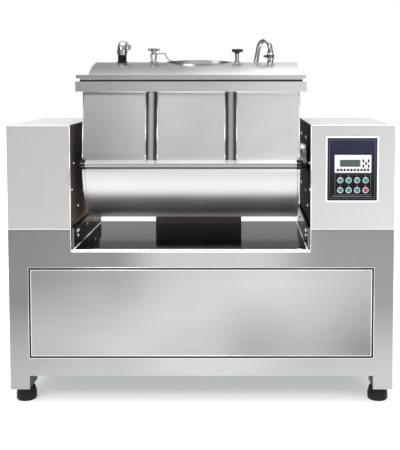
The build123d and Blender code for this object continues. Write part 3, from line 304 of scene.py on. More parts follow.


# Second colours of some finishes, each a list of masks with their colours, some of them painted highlights,
# and the ribs' painted light and shade

secondColors = {
    "greenFoot": 0.010,      # above the key film's lower edge
    "greenTop": 0.0225,
    "greenFrom": 0.0265,     # in from its right edge
    "greenTo": 0.0165,
    "redSpan": 0.010,
    "screenStrip": 0.004,
    "gasketPaleTop": 0.0055,
    # Painted highlight bands on the tower covers, at the seam and along the top.
    "coverSeamHighlight": 0.004,
    "coverTop": 0.002,
    "plateTop": 0.04,        # below the console plate's top, where its navy starts to darken
    "plateFoot": 0.08,       # above its lower edge, where it is black
    # Depth of the painted highlight on the well floor's front lip.
    "floorHighlightDepth": 0.007,
}
ribShade = {
    "uprightPlace": 0.195,   # from the tub's middle
    "upright": ((0.0, 0.50), (0.010, 0.36), (0.015, 0.07), (0.022, 0.05), (0.027, 0.3)),
    "level": ((0.0, 0.05), (0.008, 0.07), (0.014, 0.45), (0.026, 0.32), (0.034, 0.95), (0.044, 0.95)),
    "levelTop": 0.045,
}


def keyColors(made):
    # A narrow strip at the right edge of the lower left square key is green, too small to show in a
    # render, and the last round key is dark red.
    own = secondColors
    low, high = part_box("membrane_keys")
    heights = made.z.above(low.z + own["greenFoot"])
    widths = made.x.above(high.x - own["greenFrom"]) * made.x.below(high.x - own["greenTo"])
    greenStrip = heights * widths * made.z.below(low.z + own["greenTop"])
    redKey = made.x.above(high.x - own["redSpan"]) * made.z.below(low.z + own["redSpan"])
    return [(greenStrip, (0.02, 0.25, 0.09)), (redKey, (0.20, 0.02, 0.03))]


def screenColors(made):
    # Pale blue strips at both ends of the display.
    low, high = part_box("display_screen")
    strip = secondColors["screenStrip"]
    ends = made.x.below(low.x + strip) + made.x.above(high.x - strip)
    return [(ends, (0.25, 0.42, 0.58))]


def gasketColors(made):
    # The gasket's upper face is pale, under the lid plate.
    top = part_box("rim_gasket")[1].z
    return [(made.z.above(top - secondColors["gasketPaleTop"]), (0.72, 0.74, 0.76))]


def coverEdgeHighlights(made):
    # Painted highlights: a bright band along the folded edge at the seam, and a top that catches the light.
    low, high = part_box("left_tower_cover")
    edges = made.z.below(low.z + secondColors["coverSeamHighlight"]) + made.z.above(high.z - secondColors["coverTop"])
    return [(edges, (0.84, 0.84, 0.84))]


def ribLightAndShade(made):
    # Painted light and shade: dark slopes beside each crest; the level rib has a bright slope above and a
    # dark one below.
    ends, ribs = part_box("tub_end_plates"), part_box("stiffening_ribs")
    middle, base = (ends[0].x + ends[1].x) / 2, ribs[0].z
    offset = ((made.x - middle).size() - ribShade["uprightPlace"]).size()
    upright = made.tones(offset, ribShade["upright"])
    level = made.tones(made.z, tuple((base + rise, tone) for rise, tone in ribShade["level"]))
    share = made.z.above(base + ribShade["levelTop"])
    return share * upright + (1 - share) * level


def plateShade(made):
    # The console's plate is navy at the top and black lower down.
    low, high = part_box("panel_plate")
    top, foot = high.z - secondColors["plateTop"], low.z + secondColors["plateFoot"]
    return [(made.z.spread(top, foot, 0, 1), (0.003, 0.003, 0.005))]


def floorLipHighlight(made):
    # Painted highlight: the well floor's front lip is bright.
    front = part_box("well_floor")[0].y
    return [(made.y.below(front + secondColors["floorHighlightDepth"]), (0.95, 0.95, 0.95))]


finishes = {
    # Painted reflections: the panel's and skins' tones run darker towards the sides and paler in the middle,
    # with a second run lower down, and the panel's slanted clouds paint diagonal reflections.
    "panel": steel("panelSteel", ((-0.84, 0.22), (-0.45, 0.28), (-0.10, 0.44), (0.35, 0.47), (0.84, 0.38)),
                   lowPaintedTones=((-0.84, 0.36), (-0.35, 0.45), (0.0, 0.43), (0.25, 0.32), (0.50, 0.36),
                             (0.84, 0.22)),
                   fall=(0.28, 0.62), rough=0.3, toneAndReflectionClouds=0.16, cloudSize=(1.2, 1.2, 3.6), slant=-28),
    "skin": steel("skinSteel", ((-0.94, 0.19), (-0.45, 0.22), (-0.15, 0.45), (0.25, 0.46), (0.62, 0.25),
                                (0.94, 0.25)),
                  lowPaintedTones=((-0.94, 0.36), (-0.5, 0.44), (0.0, 0.52), (0.6, 0.44), (0.94, 0.45)),
                  fall=(0.14, 0.5), rough=0.34, toneAndReflectionClouds=0.06, cloudSize=(1.6, 1.6, 2.0), slant=-20),
    # The covers' tones, paler to the right, are painted reflection.
    "cover": steel("coverSteel", ((-0.94, 0.46), (-0.6, 0.48), (0.55, 0.57), (0.94, 0.62)), run="Z",
                   rough=0.42, toneAndReflectionClouds=0.04, lines=0.02, extra=coverEdgeHighlights),
    # Painted reflections on the tub: darker at the left and paler to the right, and below the fall palest at
    # the drum's foot and darker going up.
    "tub": steel("tubSteel", ((-0.60, 0.28), (-0.1, 0.55), (0.5, 0.76)),
                 lowPaintedTones=((0.87, 0.97), (0.95, 0.90), (1.03, 0.66), (1.16, 0.48)), lowAlong="z",
                 fall=(1.13, 1.17), rough=0.36, toneAndReflectionClouds=0.04, lines=0.015, bump=0.015),
    "rib": steel("ribSteel", ribLightAndShade, run="Z", rough=0.26, toneAndReflectionClouds=0.05, lines=0.02, bump=0.015),
    # The rim's, lid's and hatch's tones are painted reflections; the lid's run to near white at the right,
    # with a second run lower down.
    "rim": steel("rimSteel", ((-0.62, 0.30), (-0.1, 0.44), (0.52, 0.64)), rough=0.36, toneAndReflectionClouds=0.03),
    "lid": steel("lidSteel", ((-0.62, 0.23), (-0.15, 0.32), (0.1, 0.52), (0.45, 0.98)),
                 lowPaintedTones=((-0.62, 0.30), (-0.1, 0.42), (0.52, 0.62)), fall=(1.611, 1.618), rough=0.26,
                 toneAndReflectionClouds=0.05),
    "hatch": steel("hatchSteel", ((-0.20, 0.34), (-0.05, 0.46), (0.15, 0.40)), rough=0.24, toneAndReflectionClouds=0.06),
    # Painted reflection and shade in the well: the floor is nearly black at the front and lighter towards the
    # back.
    "floor": steel("floorSteel", ((-0.40, 0.02), (-0.25, 0.05), (-0.10, 0.32), (0.31, 0.42)), along="y",
                   rough=0.08, edgeTint=(0.55, 0.55, 0.55, 1), toneAndReflectionClouds=0.14, lines=0.02, extra=floorLipHighlight),
    # Painted light and shade: the walls run from pale at the left to nearly black at the right, and their
    # dark edge tint darkens their reflections.
    "wall": steel("wallSteel", ((-0.64, 0.60), (-0.4, 0.45), (0.4, 0.035), (0.54, 0.030)), run="Z",
                  rough=0.42, toneAndReflectionClouds=0.2, lines=0.006, tint=(1.0, 0.88, 0.80),
                  edgeTint=(0.06, 0.05, 0.045, 1)),
    "rail": steel("railSteel", 0.14, run="Y", rough=0.2, edgeTint=(0.35, 0.34, 0.33, 1),
                  toneAndReflectionClouds=0.1, lines=0.01, tint=(1.0, 0.97, 0.95)),
    "service": steel("serviceSteel", 0.13, rough=0.34, toneAndReflectionClouds=0.1, lines=0.004, tint=(1.0, 0.88, 0.82)),
    "machined": steel("machinedSteel", 0.45, run="Y", rough=0.28, toneAndReflectionClouds=0.03, lines=0.06),
    "paddle": steel("paddleSteel", 0.55, run="Y", rough=0.2, toneAndReflectionClouds=0.05, lines=0.03),
    "chrome": steel("chromePlate", 0.45, run="Z", rough=0.08, toneAndReflectionClouds=0.1, lines=0.0, bump=0.0),
    # Near-white polished steel for the trim beads and folded edges; its bright tone partly paints the
    # highlights along them.
    "edge": steel("highlightEdge", 0.93, rough=0.22, toneAndReflectionClouds=0.02, lines=0.0, bump=0.0),
    "bolt": steel("boltSteel", 0.62, rough=0.2, toneAndReflectionClouds=0.02, lines=0.0, bump=0.0),
    # The legs' and base tray's dark teal paints the reflection seen in their shade.
    "leg": plain("legShadowReflection", (0.010, 0.042, 0.048), 0.45),
    "frame": plain("framePaint", (0.16, 0.18, 0.19), 0.5),
    "cast": plain("castPaint", (0.10, 0.15, 0.20), 0.55, bump=0.3),
    "motor": plain("motorPaint", (0.13, 0.17, 0.20), 0.45, bump=0.15),
    "rubber": plain("footRubber", (0.005, 0.008, 0.008), 0.5, bump=0.15, specular=0.25),
    "belt": plain("beltRubber", (0.02, 0.02, 0.02), 0.7, bump=0.2),
    "seal": plain("sealRubber", (0.006, 0.006, 0.007), 0.55, specular=0.2),
    "gasket": plain("gasketRubber", (0.008, 0.008, 0.009), 0.38, extra=gasketColors),
    "bronze": plain("bronze", (0.42, 0.27, 0.10), 0.35, metallic=1.0),
    # The console frame's white partly paints the highlights on its bevelled edges.
    "white": plain("whiteFrameAndHighlight", (0.84, 0.85, 0.86), 0.3, variation=0.03),
    "plate": plain("consolePlate", (0.018, 0.020, 0.045), 0.5, variation=0.2, specular=0.2, extra=plateShade),
    "outline": plain("outlineInk", (0.20, 0.21, 0.27), 0.4),
    "label": plain("labelInk", (0.55, 0.57, 0.62), 0.4),
    "display": plain("displayGlass", (0.035, 0.062, 0.055), 0.12, coat=0.5, extra=screenColors),
    "bezel": steel("bezelMetal", 0.80, rough=0.24, toneAndReflectionClouds=0.02, lines=0.02),
    "green": plain("buttonGreen", (0.010, 0.22, 0.19), 0.3, coat=0.3),
    "red": plain("buttonRed", (0.42, 0.010, 0.06), 0.3, coat=0.3),
    "dark": plain("darkPlastic", (0.02, 0.02, 0.024), 0.35),
    "keys": plain("keyFilm", (0.010, 0.010, 0.012), 0.35, extra=keyColors),
}
print("finishes made:", len(finishes))

nodeFinish = {
    "levelling_feet": "rubber", "base_tray": "leg", "base_frame": "frame", "front_skin": "skin",
    "front_access_panel": "panel", "side_skins": "skin", "rear_skin": "skin", "cable_gland": "dark",
    "well_floor": "floor", "well_walls": "wall", "well_rails": "rail", "rear_service_box": "service",
    "left_tower_cover": "cover", "right_tower_cover": "cover", "trunnion_bearings": "cast",
    "main_motor": "motor", "motor_pulley": "machined", "reducer_pulley": "machined",
    "drive_belts": "belt", "shaft_reducer": "cast", "tilt_gearmotor": "cast", "tilt_pinion": "machined",
    "tilt_gear": "machined", "vacuum_pump": "cast", "control_enclosure": "frame",
    "panel_frame": "white", "panel_plate": "plate", "display_screen": "display",
    "membrane_keys": "keys", "button_bezels": "bezel", "tub_shell": "tub", "tub_end_plates": "tub",
    "rim_flange": "rim", "stiffening_ribs": "rib", "rib_caps": "seal", "rim_gasket": "gasket",
    "trunnions": "machined", "shaft_seals": "bronze", "hinge_brackets": "machined",
    "lid_shell": "lid", "hinge_leaves": "machined", "inspection_hatch": "hatch", "clamp_posts": "chrome",
    "left_knob": "chrome", "right_knob": "dark", "vacuum_stub": "seal", "vacuum_elbow": "chrome",
    "water_pipe": "chrome", "ball_valve": "chrome", "valve_lever": "dark",
    "mixing_shaft": "machined", "mixing_paddles": "paddle",
}
for number in range(1, 9):
    nodeFinish[f"button_{number}"] = "red" if number == 8 else "green"
for name, obj in nodes.items():
    obj.data.materials.clear()
    obj.data.materials.append(finishes[nodeFinish[name]])
print("CAD nodes dressed")


# Small pieces that the sheet metal carries

def linked(name, mesh, finish, body):
    piece = newObject(name, mesh)
    mesh.materials.clear()
    mesh.materials.append(finishes[finish])
    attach(piece, body)
    return piece


beadLimits = {
    "straight": 1e-5,        # a smaller turn gives no direction across
    "sharpest": 0.4,         # cosine of half the sharpest mitred turn
}


def beadInto(made, points, radius, sides=8, closed=False):
    # A round bead along straight runs between its points, with mitred corners.
    path = [Vector(point) for point in points]
    count = len(path)
    rings = []
    normal = None
    for index, point in enumerate(path):
        before = path[index - 1] if closed or index > 0 else None
        after = path[(index + 1) % count] if closed or index < count - 1 else None
        arriving = (point - before).normalized() if before else (after - point).normalized()
        leaving = (after - point).normalized() if after else arriving
        tangent = (arriving + leaving).normalized()
        if normal is None:
            normal = arriving.cross(leaving)
            if normal.length < beadLimits["straight"]:
                normal = arriving.orthogonal()
            normal.normalize()
        side = tangent.cross(normal).normalized()
        stretch = 1 / max(beadLimits["sharpest"], arriving.dot(tangent))
        ring = []
        for step in range(sides):
            turn = 2 * math.pi * (step + 0.5) / sides
            offset = side * math.cos(turn) * radius * stretch + normal * math.sin(turn) * radius
            ring.append(made.verts.new(point + offset))
        rings.append(ring)
    for index in range(count if closed else count - 1):
        one, two = rings[index], rings[(index + 1) % count]
        for step in range(sides):
            following = (step + 1) % sides
            made.faces.new((one[step], one[following], two[following], two[step]))
    if not closed:
        made.faces.new(rings[0])
        made.faces.new(rings[-1][::-1])


def beads(name, runs, radius, finish, body, sides=8, closed=False):
    made = bmesh.new()
    for points in runs:
        beadInto(made, points, radius, sides, closed)
    bmesh.ops.recalc_face_normals(made, faces=made.faces)
    for face in made.faces:
        face.smooth = len(face.verts) == 4
    return linked(name, meshFrom(name, made), finish, body)


def rectangle(x, z, y):
    return [(x[0], y, z[0]), (x[1], y, z[0]), (x[1], y, z[1]), (x[0], y, z[1])]


boltShape = {
    "crown": 0.72,           # shares of the head's radius
    "washerRadius": 1.4,
    "washerHeight": 0.3,     # share of the head's height
    "washerSides": 20,
}


def boltTree():
    # Bolt heads with a bevelled crown and a washer under each, one for every point of the base mesh.
    tree = bpy.data.node_groups.new("boltHeads", "GeometryNodeTree")
    given = {"Places": "Geometry", "Head Radius": "Float", "Head Height": "Float", "Washer Radius": "Float",
             "Washer Height": "Float", "Turn": "Rotation", "Finish": "Material"}
    for label, kind in given.items():
        tree.interface.new_socket(label, in_out="INPUT", socket_type="NodeSocket" + kind)
    tree.interface.new_socket("Bolts", in_out="OUTPUT", socket_type="NodeSocketGeometry")

    def node(kind, settings=None, links=None):
        made = tree.nodes.new(kind)
        for key, value in (settings or {}).items():
            setattr(made, key, value)
        for key, value in (links or {}).items():
            if isinstance(value, bpy.types.NodeSocket):
                tree.links.new(value, made.inputs[key])
            else:
                made.inputs[key].default_value = value
        return made

    start = node("NodeGroupInput").outputs
    crown = node("ShaderNodeMath", {"operation": "MULTIPLY"},
                 {0: start["Head Radius"], 1: boltShape["crown"]}).outputs[0]
    head = node("GeometryNodeMeshCone", {}, {"Vertices": 6, "Radius Top": crown,
                                             "Radius Bottom": start["Head Radius"],
                                             "Depth": start["Head Height"]}).outputs["Mesh"]
    washer = node("GeometryNodeMeshCylinder", {}, {"Vertices": boltShape["washerSides"],
                                                   "Radius": start["Washer Radius"],
                                                   "Depth": start["Washer Height"]}).outputs["Mesh"]
    lift = node("ShaderNodeCombineXYZ", {}, {"Z": start["Washer Height"]}).outputs[0]
    raised = node("GeometryNodeTransform", {}, {"Geometry": head, "Translation": lift}).outputs[0]
    joined = node("GeometryNodeJoinGeometry")
    tree.links.new(raised, joined.inputs[0])
    tree.links.new(washer, joined.inputs[0])
    placed = node("GeometryNodeInstanceOnPoints", {}, {"Points": start["Places"],
                                                       "Instance": joined.outputs[0],
                                                       "Rotation": start["Turn"]}).outputs[0]
    solid = node("GeometryNodeRealizeInstances", {}, {"Geometry": placed}).outputs[0]
    painted = node("GeometryNodeSetMaterial", {}, {"Geometry": solid, "Material": start["Finish"]}).outputs[0]
    node("NodeGroupOutput", {}, {"Bolts": painted})
    return tree


boltHeads = boltTree()
facings = {"+X": (0, math.pi / 2, 0), "-X": (0, -math.pi / 2, 0), "+Y": (-math.pi / 2, 0, 0),
           "-Y": (math.pi / 2, 0, 0), "+Z": (0, 0, 0)}


def bolts(name, places, facing, body, slotName, finish="bolt", headRadius=0.008, headHeight=0.005):
    base = bpy.data.meshes.new(name + "Places")
    base.from_pydata([tuple(place) for place in places], [], [])
    holder = newObject(name + "Holder", base)
    modifier = holder.modifiers.new("bolts", "NODES")
    modifier.node_group = boltHeads
    values = {"Head Radius": headRadius, "Head Height": headHeight,
              "Washer Radius": headRadius * boltShape["washerRadius"],
              "Washer Height": headHeight * boltShape["washerHeight"],
              "Turn": facings[facing], "Finish": finishes[finish]}
    for item in boltHeads.interface.items_tree:
        if item.in_out == "INPUT" and item.name in values:
            modifier[item.identifier] = values[item.name]
    mesh = settledMesh(holder)
    mesh.name = name
    holder.modifiers.remove(modifier)
    bpy.data.objects.remove(holder)
    return linked(name, mesh, finish, body)


# Cabinet trim: bright folded edges and floor beads that paint highlights, the access panel's seal that paints
# the shadow in its groove, bolts and screws

skinLow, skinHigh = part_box("front_skin")
panelLow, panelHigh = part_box("front_access_panel")
floorLow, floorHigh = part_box("well_floor")
railLow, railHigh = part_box("well_rails")
rearLow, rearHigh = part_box("rear_skin")
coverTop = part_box("left_tower_cover")[1].z
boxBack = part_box("rear_service_box")[1].y

cabinetTrim = {
    "lipRadius": 0.0019,
    "lipGap": 0.0065,        # panel's edge out to the lip round it
    "sealRadius": 0.0042,
    "sealGap": 0.0015,
    "foldInset": 0.0058,
    "foldRadius": 0.0019,
    "sunk": 0.0005,          # skin's face back to the beads' centres
    "edgeRadius": 0.0030,
    "edgeStop": 0.004,
    "floorBead": 0.0045,
    "floorBeadSeat": 0.8,    # rail's face to its centre, as a share of its radius
    "floorBeadStart": 0.006,
    "floorBeadStop": 0.005,
    "railThickness": 0.014,
}


def makeAccessTrim():
    # A bright lip, a dark seal and a bright fold, one inside the other: the lip and fold paint highlights,
    # the dark seal paints the shadow line in the groove.
    trim = cabinetTrim
    frames = (("accessLip", trim["lipGap"], trim["lipRadius"], "edge", "brushed_stainless"),
              ("accessShadowSeal", trim["sealGap"], trim["sealRadius"], "seal", "seal_rubber"),
              ("accessFold", -trim["foldInset"], trim["foldRadius"], "edge", "brushed_stainless"))
    for name, gap, radius, finish, slotName in frames:
        around = rectangle((panelLow.x - gap, panelHigh.x + gap), (panelLow.z - gap, panelHigh.z + gap),
                           skinLow.y + trim["sunk"])
        beads(name, [around], radius, finish, "frame", closed=True)


def makeWellTrim():
    # Bright beads up the well's front edges and along the floor's corners with the rails, which paint the
    # highlight lines there.
    trim = cabinetTrim
    front = skinLow.y + trim["sunk"]
    edges = [[(x, front, floorLow.z), (x, front, coverTop - trim["edgeStop"])]
             for x in (floorLow.x, floorHigh.x)]
    beads("wellEdges", edges, trim["edgeRadius"], "edge", "frame")
    inset = trim["railThickness"] + trim["floorBead"] * trim["floorBeadSeat"]
    start, stop = floorLow.y + trim["floorBeadStart"], boxBack - trim["floorBeadStop"]
    corners = (railLow.x + inset, railHigh.x - inset)
    runs = [[(x, start, floorHigh.z), (x, stop, floorHigh.z)] for x in corners]
    beads("floorBeads", runs, trim["floorBead"], "edge", "frame")


cabinetBolts = {
    "wallPlaces": ((-0.090, 1.290), (-0.130, 1.158), (-0.090, 1.015), (-0.318, 1.177), (-0.366, 1.052),
                   (-0.220, 0.953), (0.240, 1.290), (0.240, 1.015)),
    "wallHead": 0.007,
    "clusterY": -0.294,
    "clusterRadius": 0.016,
    "clusterTurn": 0.5,      # radians
    "clusterCount": 3,
    "railZ": 0.830,
    "railRowY": (-0.05, 0.17),
    "railHead": 0.008,
    "screwHead": 0.0055,
    "screwHeight": 0.003,
    "rearRim": 0.018,
    "rearColumns": 9,
    "rearFoot": 0.085,
    "rearDrop": 0.02,        # below the well floor
    "legTop": 0.2,           # no rear screws below this height
    "legInner": 0.9,         # and outside this distance from the middle
    "rearSideZ": (0.30, 0.52),
    "skinY": (-0.36, 0.36),
    "skinZ": (0.20, 0.48, 0.83),
}


def makeWellBolts():
    # Scattered bolts on each well wall, and a cluster of three and a row of two on each rail.
    own = cabinetBolts
    thickness = cabinetTrim["railThickness"]
    sides = (("left", floorLow.x, railLow.x + thickness, "+X"),
             ("right", floorHigh.x, railHigh.x - thickness, "-X"))
    count = own["clusterCount"]
    turns = [own["clusterTurn"] + 2 * math.pi * step / count for step in range(count)]
    for side, wallX, railX, facing in sides:
        places = [(wallX, y, z) for y, z in own["wallPlaces"]]
        bolts(side + "WallBolts", places, facing, "frame", "polished_stainless", headRadius=own["wallHead"])
        cluster = [(railX, own["clusterY"] + own["clusterRadius"] * math.cos(turn),
                    own["railZ"] + own["clusterRadius"] * math.sin(turn)) for turn in turns]
        row = [(railX, y, own["railZ"]) for y in own["railRowY"]]
        bolts(side + "RailBolts", cluster + row, facing, "frame", "polished_stainless",
              headRadius=own["railHead"])


def makeScrews():
    # Screws in two rows across the rear skin and down its sides, and on both side skins.
    own = cabinetBolts
    screw = {"headRadius": own["screwHead"], "headHeight": own["screwHeight"]}
    rim, gaps = own["rearRim"], own["rearColumns"] - 1
    across = [rearLow.x + rim + step * (rearHigh.x - rearLow.x - 2 * rim) / gaps for step in range(gaps + 1)]
    heights = (rearLow.z + own["rearFoot"], floorLow.z - own["rearDrop"])
    places = [(x, rearHigh.y, z) for x in across for z in heights
              if not (z < own["legTop"] and abs(x) > own["legInner"])]
    places += [(x, rearHigh.y, z) for x in (across[0], across[-1]) for z in own["rearSideZ"]]
    bolts("rearScrews", places, "+Y", "frame", "brushed_stainless", **screw)
    for side, x, facing in (("left", skinLow.x, "-X"), ("right", skinHigh.x, "+X")):
        places = [(x, y, z) for y in own["skinY"] for z in own["skinZ"]]
        bolts(side + "SkinScrews", places, facing, "frame", "brushed_stainless", **screw)


makeAccessTrim()
makeWellTrim()
makeWellBolts()
makeScrews()
print("cabinet trimmed")


# Tub trim: beads beside the pressed ribs, bright ones that paint highlight lines, and round the end plates,
# bolts on the trunnion flanges

endLow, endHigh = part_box("tub_end_plates")
capLow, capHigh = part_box("rib_caps")
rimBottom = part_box("rim_flange")[0].z

tubTrim = {
    "drumRadius": 0.318,
    "mouthInset": 0.047,
    "axisY": -0.034,
    "axisZ": 1.185,
    "ribSpread": 0.390,
    "ribWidth": 0.052,
    "beadRadius": 0.0032,
    "beadFoot": 0.002,       # above the level rib's top
    "beadStep": 0.03,
    "beadSteps": 3,
    "rimGap": 0.001,
    "rimSeat": 0.5,          # rim's underside to the top bead's centre, as a share of its radius
    "endGap": 0.004,
    "seamRadius": 0.0020,
    "seamSteps": 40,
    "levelTop": 0.011,       # above the axis
    "endPlate": 0.012,
    "capRadius": 0.0235,
    "capWidth": 0.018,
    "capInset": 0.020,
    "capSides": 40,
    "flangeThickness": 0.016,
    "flangeCircle": 0.098,   # radius that the bolts stand on
    "flangeTurn": 0.39,      # radians
    "flangeCount": 8,
    "flangeHead": 0.009,
    "flangeHeight": 0.007,
}
wallOffset = tubTrim["drumRadius"] - tubTrim["mouthInset"]
wallRise = rimBottom - tubTrim["axisZ"]
lean = math.atan2(wallRise, wallOffset) - math.acos(tubTrim["drumRadius"] / math.hypot(wallOffset, wallRise))


def wallPoint(x, z, side):
    # A point on the tub's front (side -1) or back (side 1) wall at the height z.
    own = tubTrim
    radius = own["drumRadius"]
    meetZ = own["axisZ"] + radius * math.sin(lean)
    if z >= meetZ:
        offset = radius * math.cos(lean) - (z - meetZ) * math.tan(lean)
    else:
        offset = math.sqrt(max(radius ** 2 - (z - own["axisZ"]) ** 2, 0))
    return (x, own["axisY"] + side * offset, z)


def onDrum(x, radius, turn):
    # A point on a circle round the tub's axis.
    own = tubTrim
    return (x, own["axisY"] + radius * math.cos(turn), own["axisZ"] + radius * math.sin(turn))


def makePanelBeads():
    # Upright beads beside both ribs and at both ends, and a level one under the rim, front and back; their
    # bright finish paints the highlight lines there.
    own = tubTrim
    middle = (endLow.x + endHigh.x) / 2
    outer = own["ribWidth"] / 2 + own["beadRadius"]
    places = [middle + side * own["ribSpread"] / 2 + edge * outer for side in (-1, 1) for edge in (-1, 1)]
    places += [endLow.x + own["beadRadius"], endHigh.x - own["beadRadius"]]
    levels = [own["axisZ"] + own["levelTop"] + own["beadFoot"] + step * own["beadStep"]
              for step in range(own["beadSteps"])]
    levels.append(rimBottom - own["rimGap"])
    runs = [[wallPoint(x, z, side) for z in levels] for x in places for side in (-1, 1)]
    top = rimBottom - own["beadRadius"] * own["rimSeat"]
    ends = (endLow.x + own["endGap"], endHigh.x - own["endGap"])
    runs += [[wallPoint(x, top, side) for x in ends] for side in (-1, 1)]
    beads("panelBeads", runs, own["beadRadius"], "edge", "tub")


def makeRibCaps():
    # A wider round cap over each end of the level ribs.
    own = tubTrim
    made = bmesh.new()
    for x in (endLow.x + own["capWidth"] / 2, endHigh.x - own["capWidth"] / 2):
        for y in (capLow.y + own["capInset"], capHigh.y - own["capInset"]):
            spot = Matrix.Translation((x, y, (capLow.z + capHigh.z) / 2))
            spot = spot @ Matrix.Rotation(math.pi / 2, 4, "Y")
            bmesh.ops.create_cone(made, cap_ends=True, segments=own["capSides"], radius1=own["capRadius"],
                                  radius2=own["capRadius"], depth=own["capWidth"], matrix=spot)
    linked("ribEndCaps", meshFrom("ribEndCaps", made), "seal", "tub")


def makeEndSeams():
    # A seam round the drum beside each end plate, from one wall's tangent point to the other's.
    own = tubTrim
    sweep = math.pi + 2 * lean
    turns = [lean - sweep * step / own["seamSteps"] for step in range(own["seamSteps"] + 1)]
    seams = [[onDrum(x, own["drumRadius"], turn) for turn in turns]
             for x in (endLow.x + own["endPlate"], endHigh.x - own["endPlate"])]
    beads("endSeams", seams, own["seamRadius"], "tub", "tub", sides=6)


def makeFlangeBolts():
    own = tubTrim
    count = own["flangeCount"]
    turns = [2 * math.pi * step / count + own["flangeTurn"] for step in range(count)]
    for side, x, facing in (("left", endLow.x - own["flangeThickness"], "-X"),
                            ("right", endHigh.x + own["flangeThickness"], "+X")):
        ring = [onDrum(x, own["flangeCircle"], turn) for turn in turns]
        bolts(side + "FlangeBolts", ring, facing, "tub", "gear_steel", headRadius=own["flangeHead"],
              headHeight=own["flangeHeight"])


makePanelBeads()
makeRibCaps()
makeEndSeams()
makeFlangeBolts()
print("tub trimmed")


# Console: outlines, plain numbers and key faces

plateLow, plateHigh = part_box("panel_plate")
bezelLow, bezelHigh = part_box("button_bezels")

console = {
    "line": 0.0007,
    "blockMargin": 0.010,
    "blockFoot": 0.8,        # shares of the margin
    "blockHead": 1.6,
    "numberSize": 0.0085,
    "numberGap": 0.0035,
    "numberDepth": 0.0002,
    "numberProud": 0.0003,
    "bezelRadius": 0.0149,
    "pitchX": 0.0408,
    "pitchZ": 0.0479,
    "columns": 4,
    "buttons": 8,
    "outlineInset": 0.010,
    "bottomLineRise": 0.020,
    "bottomLineInset": 0.024,
    "roundPadScale": 1.7,
    "squarePadScale": 1.3,
    "padThickness": 0.0008,
    "padTaper": 0.94,
    "padSides": 24,
    "squarePoints": 8,       # a face of a square key has no more points than this
}


def makeConsoleMarks():
    # Fine outlines round the button block and the plate, and a line along the foot.
    own = console
    face = plateLow.y
    margin = own["blockMargin"]
    block = rectangle((bezelLow.x - margin, bezelHigh.x + margin),
                      (bezelLow.z - margin * own["blockFoot"], bezelHigh.z + margin * own["blockHead"]), face)
    rim = own["outlineInset"]
    outer = rectangle((plateLow.x + rim, plateHigh.x - rim), (plateLow.z + rim, plateHigh.z - rim), face)
    beads("consoleOutlines", [block, outer], own["line"], "outline", "frame", sides=6,
          closed=True)
    bottom = plateLow.z + own["bottomLineRise"]
    ends = (plateLow.x + own["bottomLineInset"], plateHigh.x - own["bottomLineInset"])
    beads("consoleLine", [[(x, face, bottom) for x in ends]], own["line"], "label", "frame",
          sides=6)


def makeNumbers():
    own = console
    upright = Matrix.Rotation(math.pi / 2, 4, "X")
    made = bmesh.new()
    for number in range(own["buttons"]):
        column, row = number % own["columns"], number // own["columns"]
        text = bpy.data.curves.new("number", "FONT")
        text.body = str(number + 1)
        text.size = own["numberSize"]
        text.align_x = "CENTER"
        text.extrude = own["numberDepth"]
        holder = newObject("number", text)
        bpy.context.view_layer.update()
        mesh = settledMesh(holder)
        x = bezelLow.x + own["bezelRadius"] + column * own["pitchX"]
        z = bezelHigh.z - row * own["pitchZ"] + own["numberGap"]
        mesh.transform(Matrix.Translation((x, plateLow.y - own["numberProud"], z)) @ upright)
        made.from_mesh(mesh)
        bpy.data.objects.remove(holder)
        bpy.data.meshes.remove(mesh)
    linked("buttonNumbers", meshFrom("buttonNumbers", made), "label", "frame")


def islands(mesh):
    # The points of each part of a mesh that no edge joins to the rest, in the mesh's own order.
    # The frame's meshes are open along sharp edges, so the faces of one key come apart here.
    made = bmesh.new()
    made.from_mesh(mesh)
    seen = set()
    found = []
    for first in made.verts:
        if first in seen:
            continue
        seen.add(first)
        points, waiting = [], [first]
        while waiting:
            vert = waiting.pop()
            points.append(vert.co.copy())
            for edge in vert.link_edges:
                other = edge.other_vert(vert)
                if other not in seen:
                    seen.add(other)
                    waiting.append(other)
        found.append(points)
    made.free()
    return found


def makeKeyPads():
    # A raised dark pad at the front of every face of the film keys. So a key gets several: doubles and
    # those at its back are hidden from the front, and a square key's upper and lower ones make its
    # dark face taller than the key.
    own = console
    upright = Matrix.Rotation(math.pi / 2, 4, "X")
    made = bmesh.new()
    for points in islands(nodes["membrane_keys"].data):
        lowX, highX = min(point.x for point in points), max(point.x for point in points)
        lowZ, highZ = min(point.z for point in points), max(point.z for point in points)
        front = min(point.y for point in points)
        spot = Matrix.Translation(((lowX + highX) / 2, front, (lowZ + highZ) / 2)) @ upright
        if len(points) > own["squarePoints"]:
            sides, radius = own["padSides"], (highX - lowX) / 2 * own["roundPadScale"]
        else:
            sides, radius = 4, (highX - lowX) / 2 * own["squarePadScale"] * math.sqrt(2)
            spot = spot @ Matrix.Rotation(math.pi / 4, 4, "Z")
        bmesh.ops.create_cone(made, cap_ends=True, segments=sides, depth=own["padThickness"],
                              radius1=radius, radius2=radius * own["padTaper"], matrix=spot)
    linked("keyPads", meshFrom("keyPads", made), "keys", "frame")


makeConsoleMarks()
makeNumbers()
makeKeyPads()
print("console marked")


# Studio

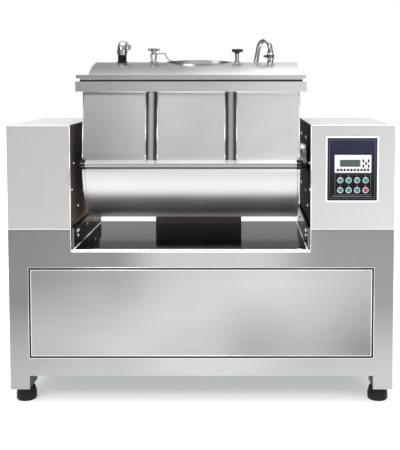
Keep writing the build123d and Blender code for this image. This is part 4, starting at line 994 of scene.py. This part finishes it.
def makeCamera():
    data = bpy.data.cameras.new("camera")
    data.lens = camera["lens"]
    data.shift_x, data.shift_y = camera["shift"]
    eye = newObject("camera", data)
    eye.location = camera["place"]
    eye.rotation_euler = (math.radians(90 - camera["pitchDown"]), 0, 0)
    bpy.context.scene.camera = eye


def makeSky():
    # A pale backdrop, and a studio of soft light and shade round the machine for its lighting.
    own = studio
    world = bpy.data.worlds.new("studio")
    bpy.context.scene.world = world
    world.use_nodes = True
    sky = Nodes(world.node_tree)
    x, _, z = sky.split(sky.add("TexCoord", output="Generated"))
    rise = sky.tones(z, ((-1.0, own["horizon"]), (0.0, own["horizon"]), (own["horizonTop"], own["low"]),
                         (own["lowTop"], own["low"]), (own["openFrom"], 1.0), (1.0, 1.0)))
    rise = rise + z.spread(*own["overheadRise"], 0, own["overhead"] - 1.0)
    sides = x.size().spread(*own["sideReach"], 0, 1) * z.spread(*own["sideFade"], 1, 0)
    light = rise * (1 - own["sideShade"] * sides)
    seen = sky.add("LightPath", output="Is Camera Ray")
    level = seen * own["background"] + (1 - seen) * light
    backdrop = world.node_tree.nodes["Background"]
    sky.feed(backdrop.inputs["Strength"], level)
    backdrop.inputs["Color"].default_value = (1, 1, 1, 1)


def makeFloor():
    half = studio["floorSize"] / 2
    mesh = bpy.data.meshes.new("floor")
    corners = [(-half, -half, 0), (half, -half, 0), (half, half, 0), (-half, half, 0)]
    mesh.from_pydata(corners, [], [(0, 1, 2, 3)])
    ground = newObject("floor", mesh)
    finish = Finish("floorPaint", Roughness=studio["floorRoughness"], Emission_Strength=studio["floorGlow"])
    finish.set("Base Color", (*(studio["floorTone"],) * 3, 1))
    finish.set("Emission Color", (1, 1, 1, 1))
    mesh.materials.append(finish.material)


def areaLight(name, place, aim, size, power):
    data = bpy.data.lights.new(name, "AREA")
    data.shape = "RECTANGLE"
    data.size, data.size_y = size
    data.energy = power
    lamp = newObject(name, data)
    lamp.location = place
    lamp.rotation_euler = (Vector(aim) - Vector(place)).to_track_quat("-Z", "Y").to_euler()


makeCamera()
makeSky()
makeFloor()
for name, settings in lamps.items():
    areaLight(name, **settings)
bpy.context.scene.view_settings.view_transform = "Standard"
print("studio lit")
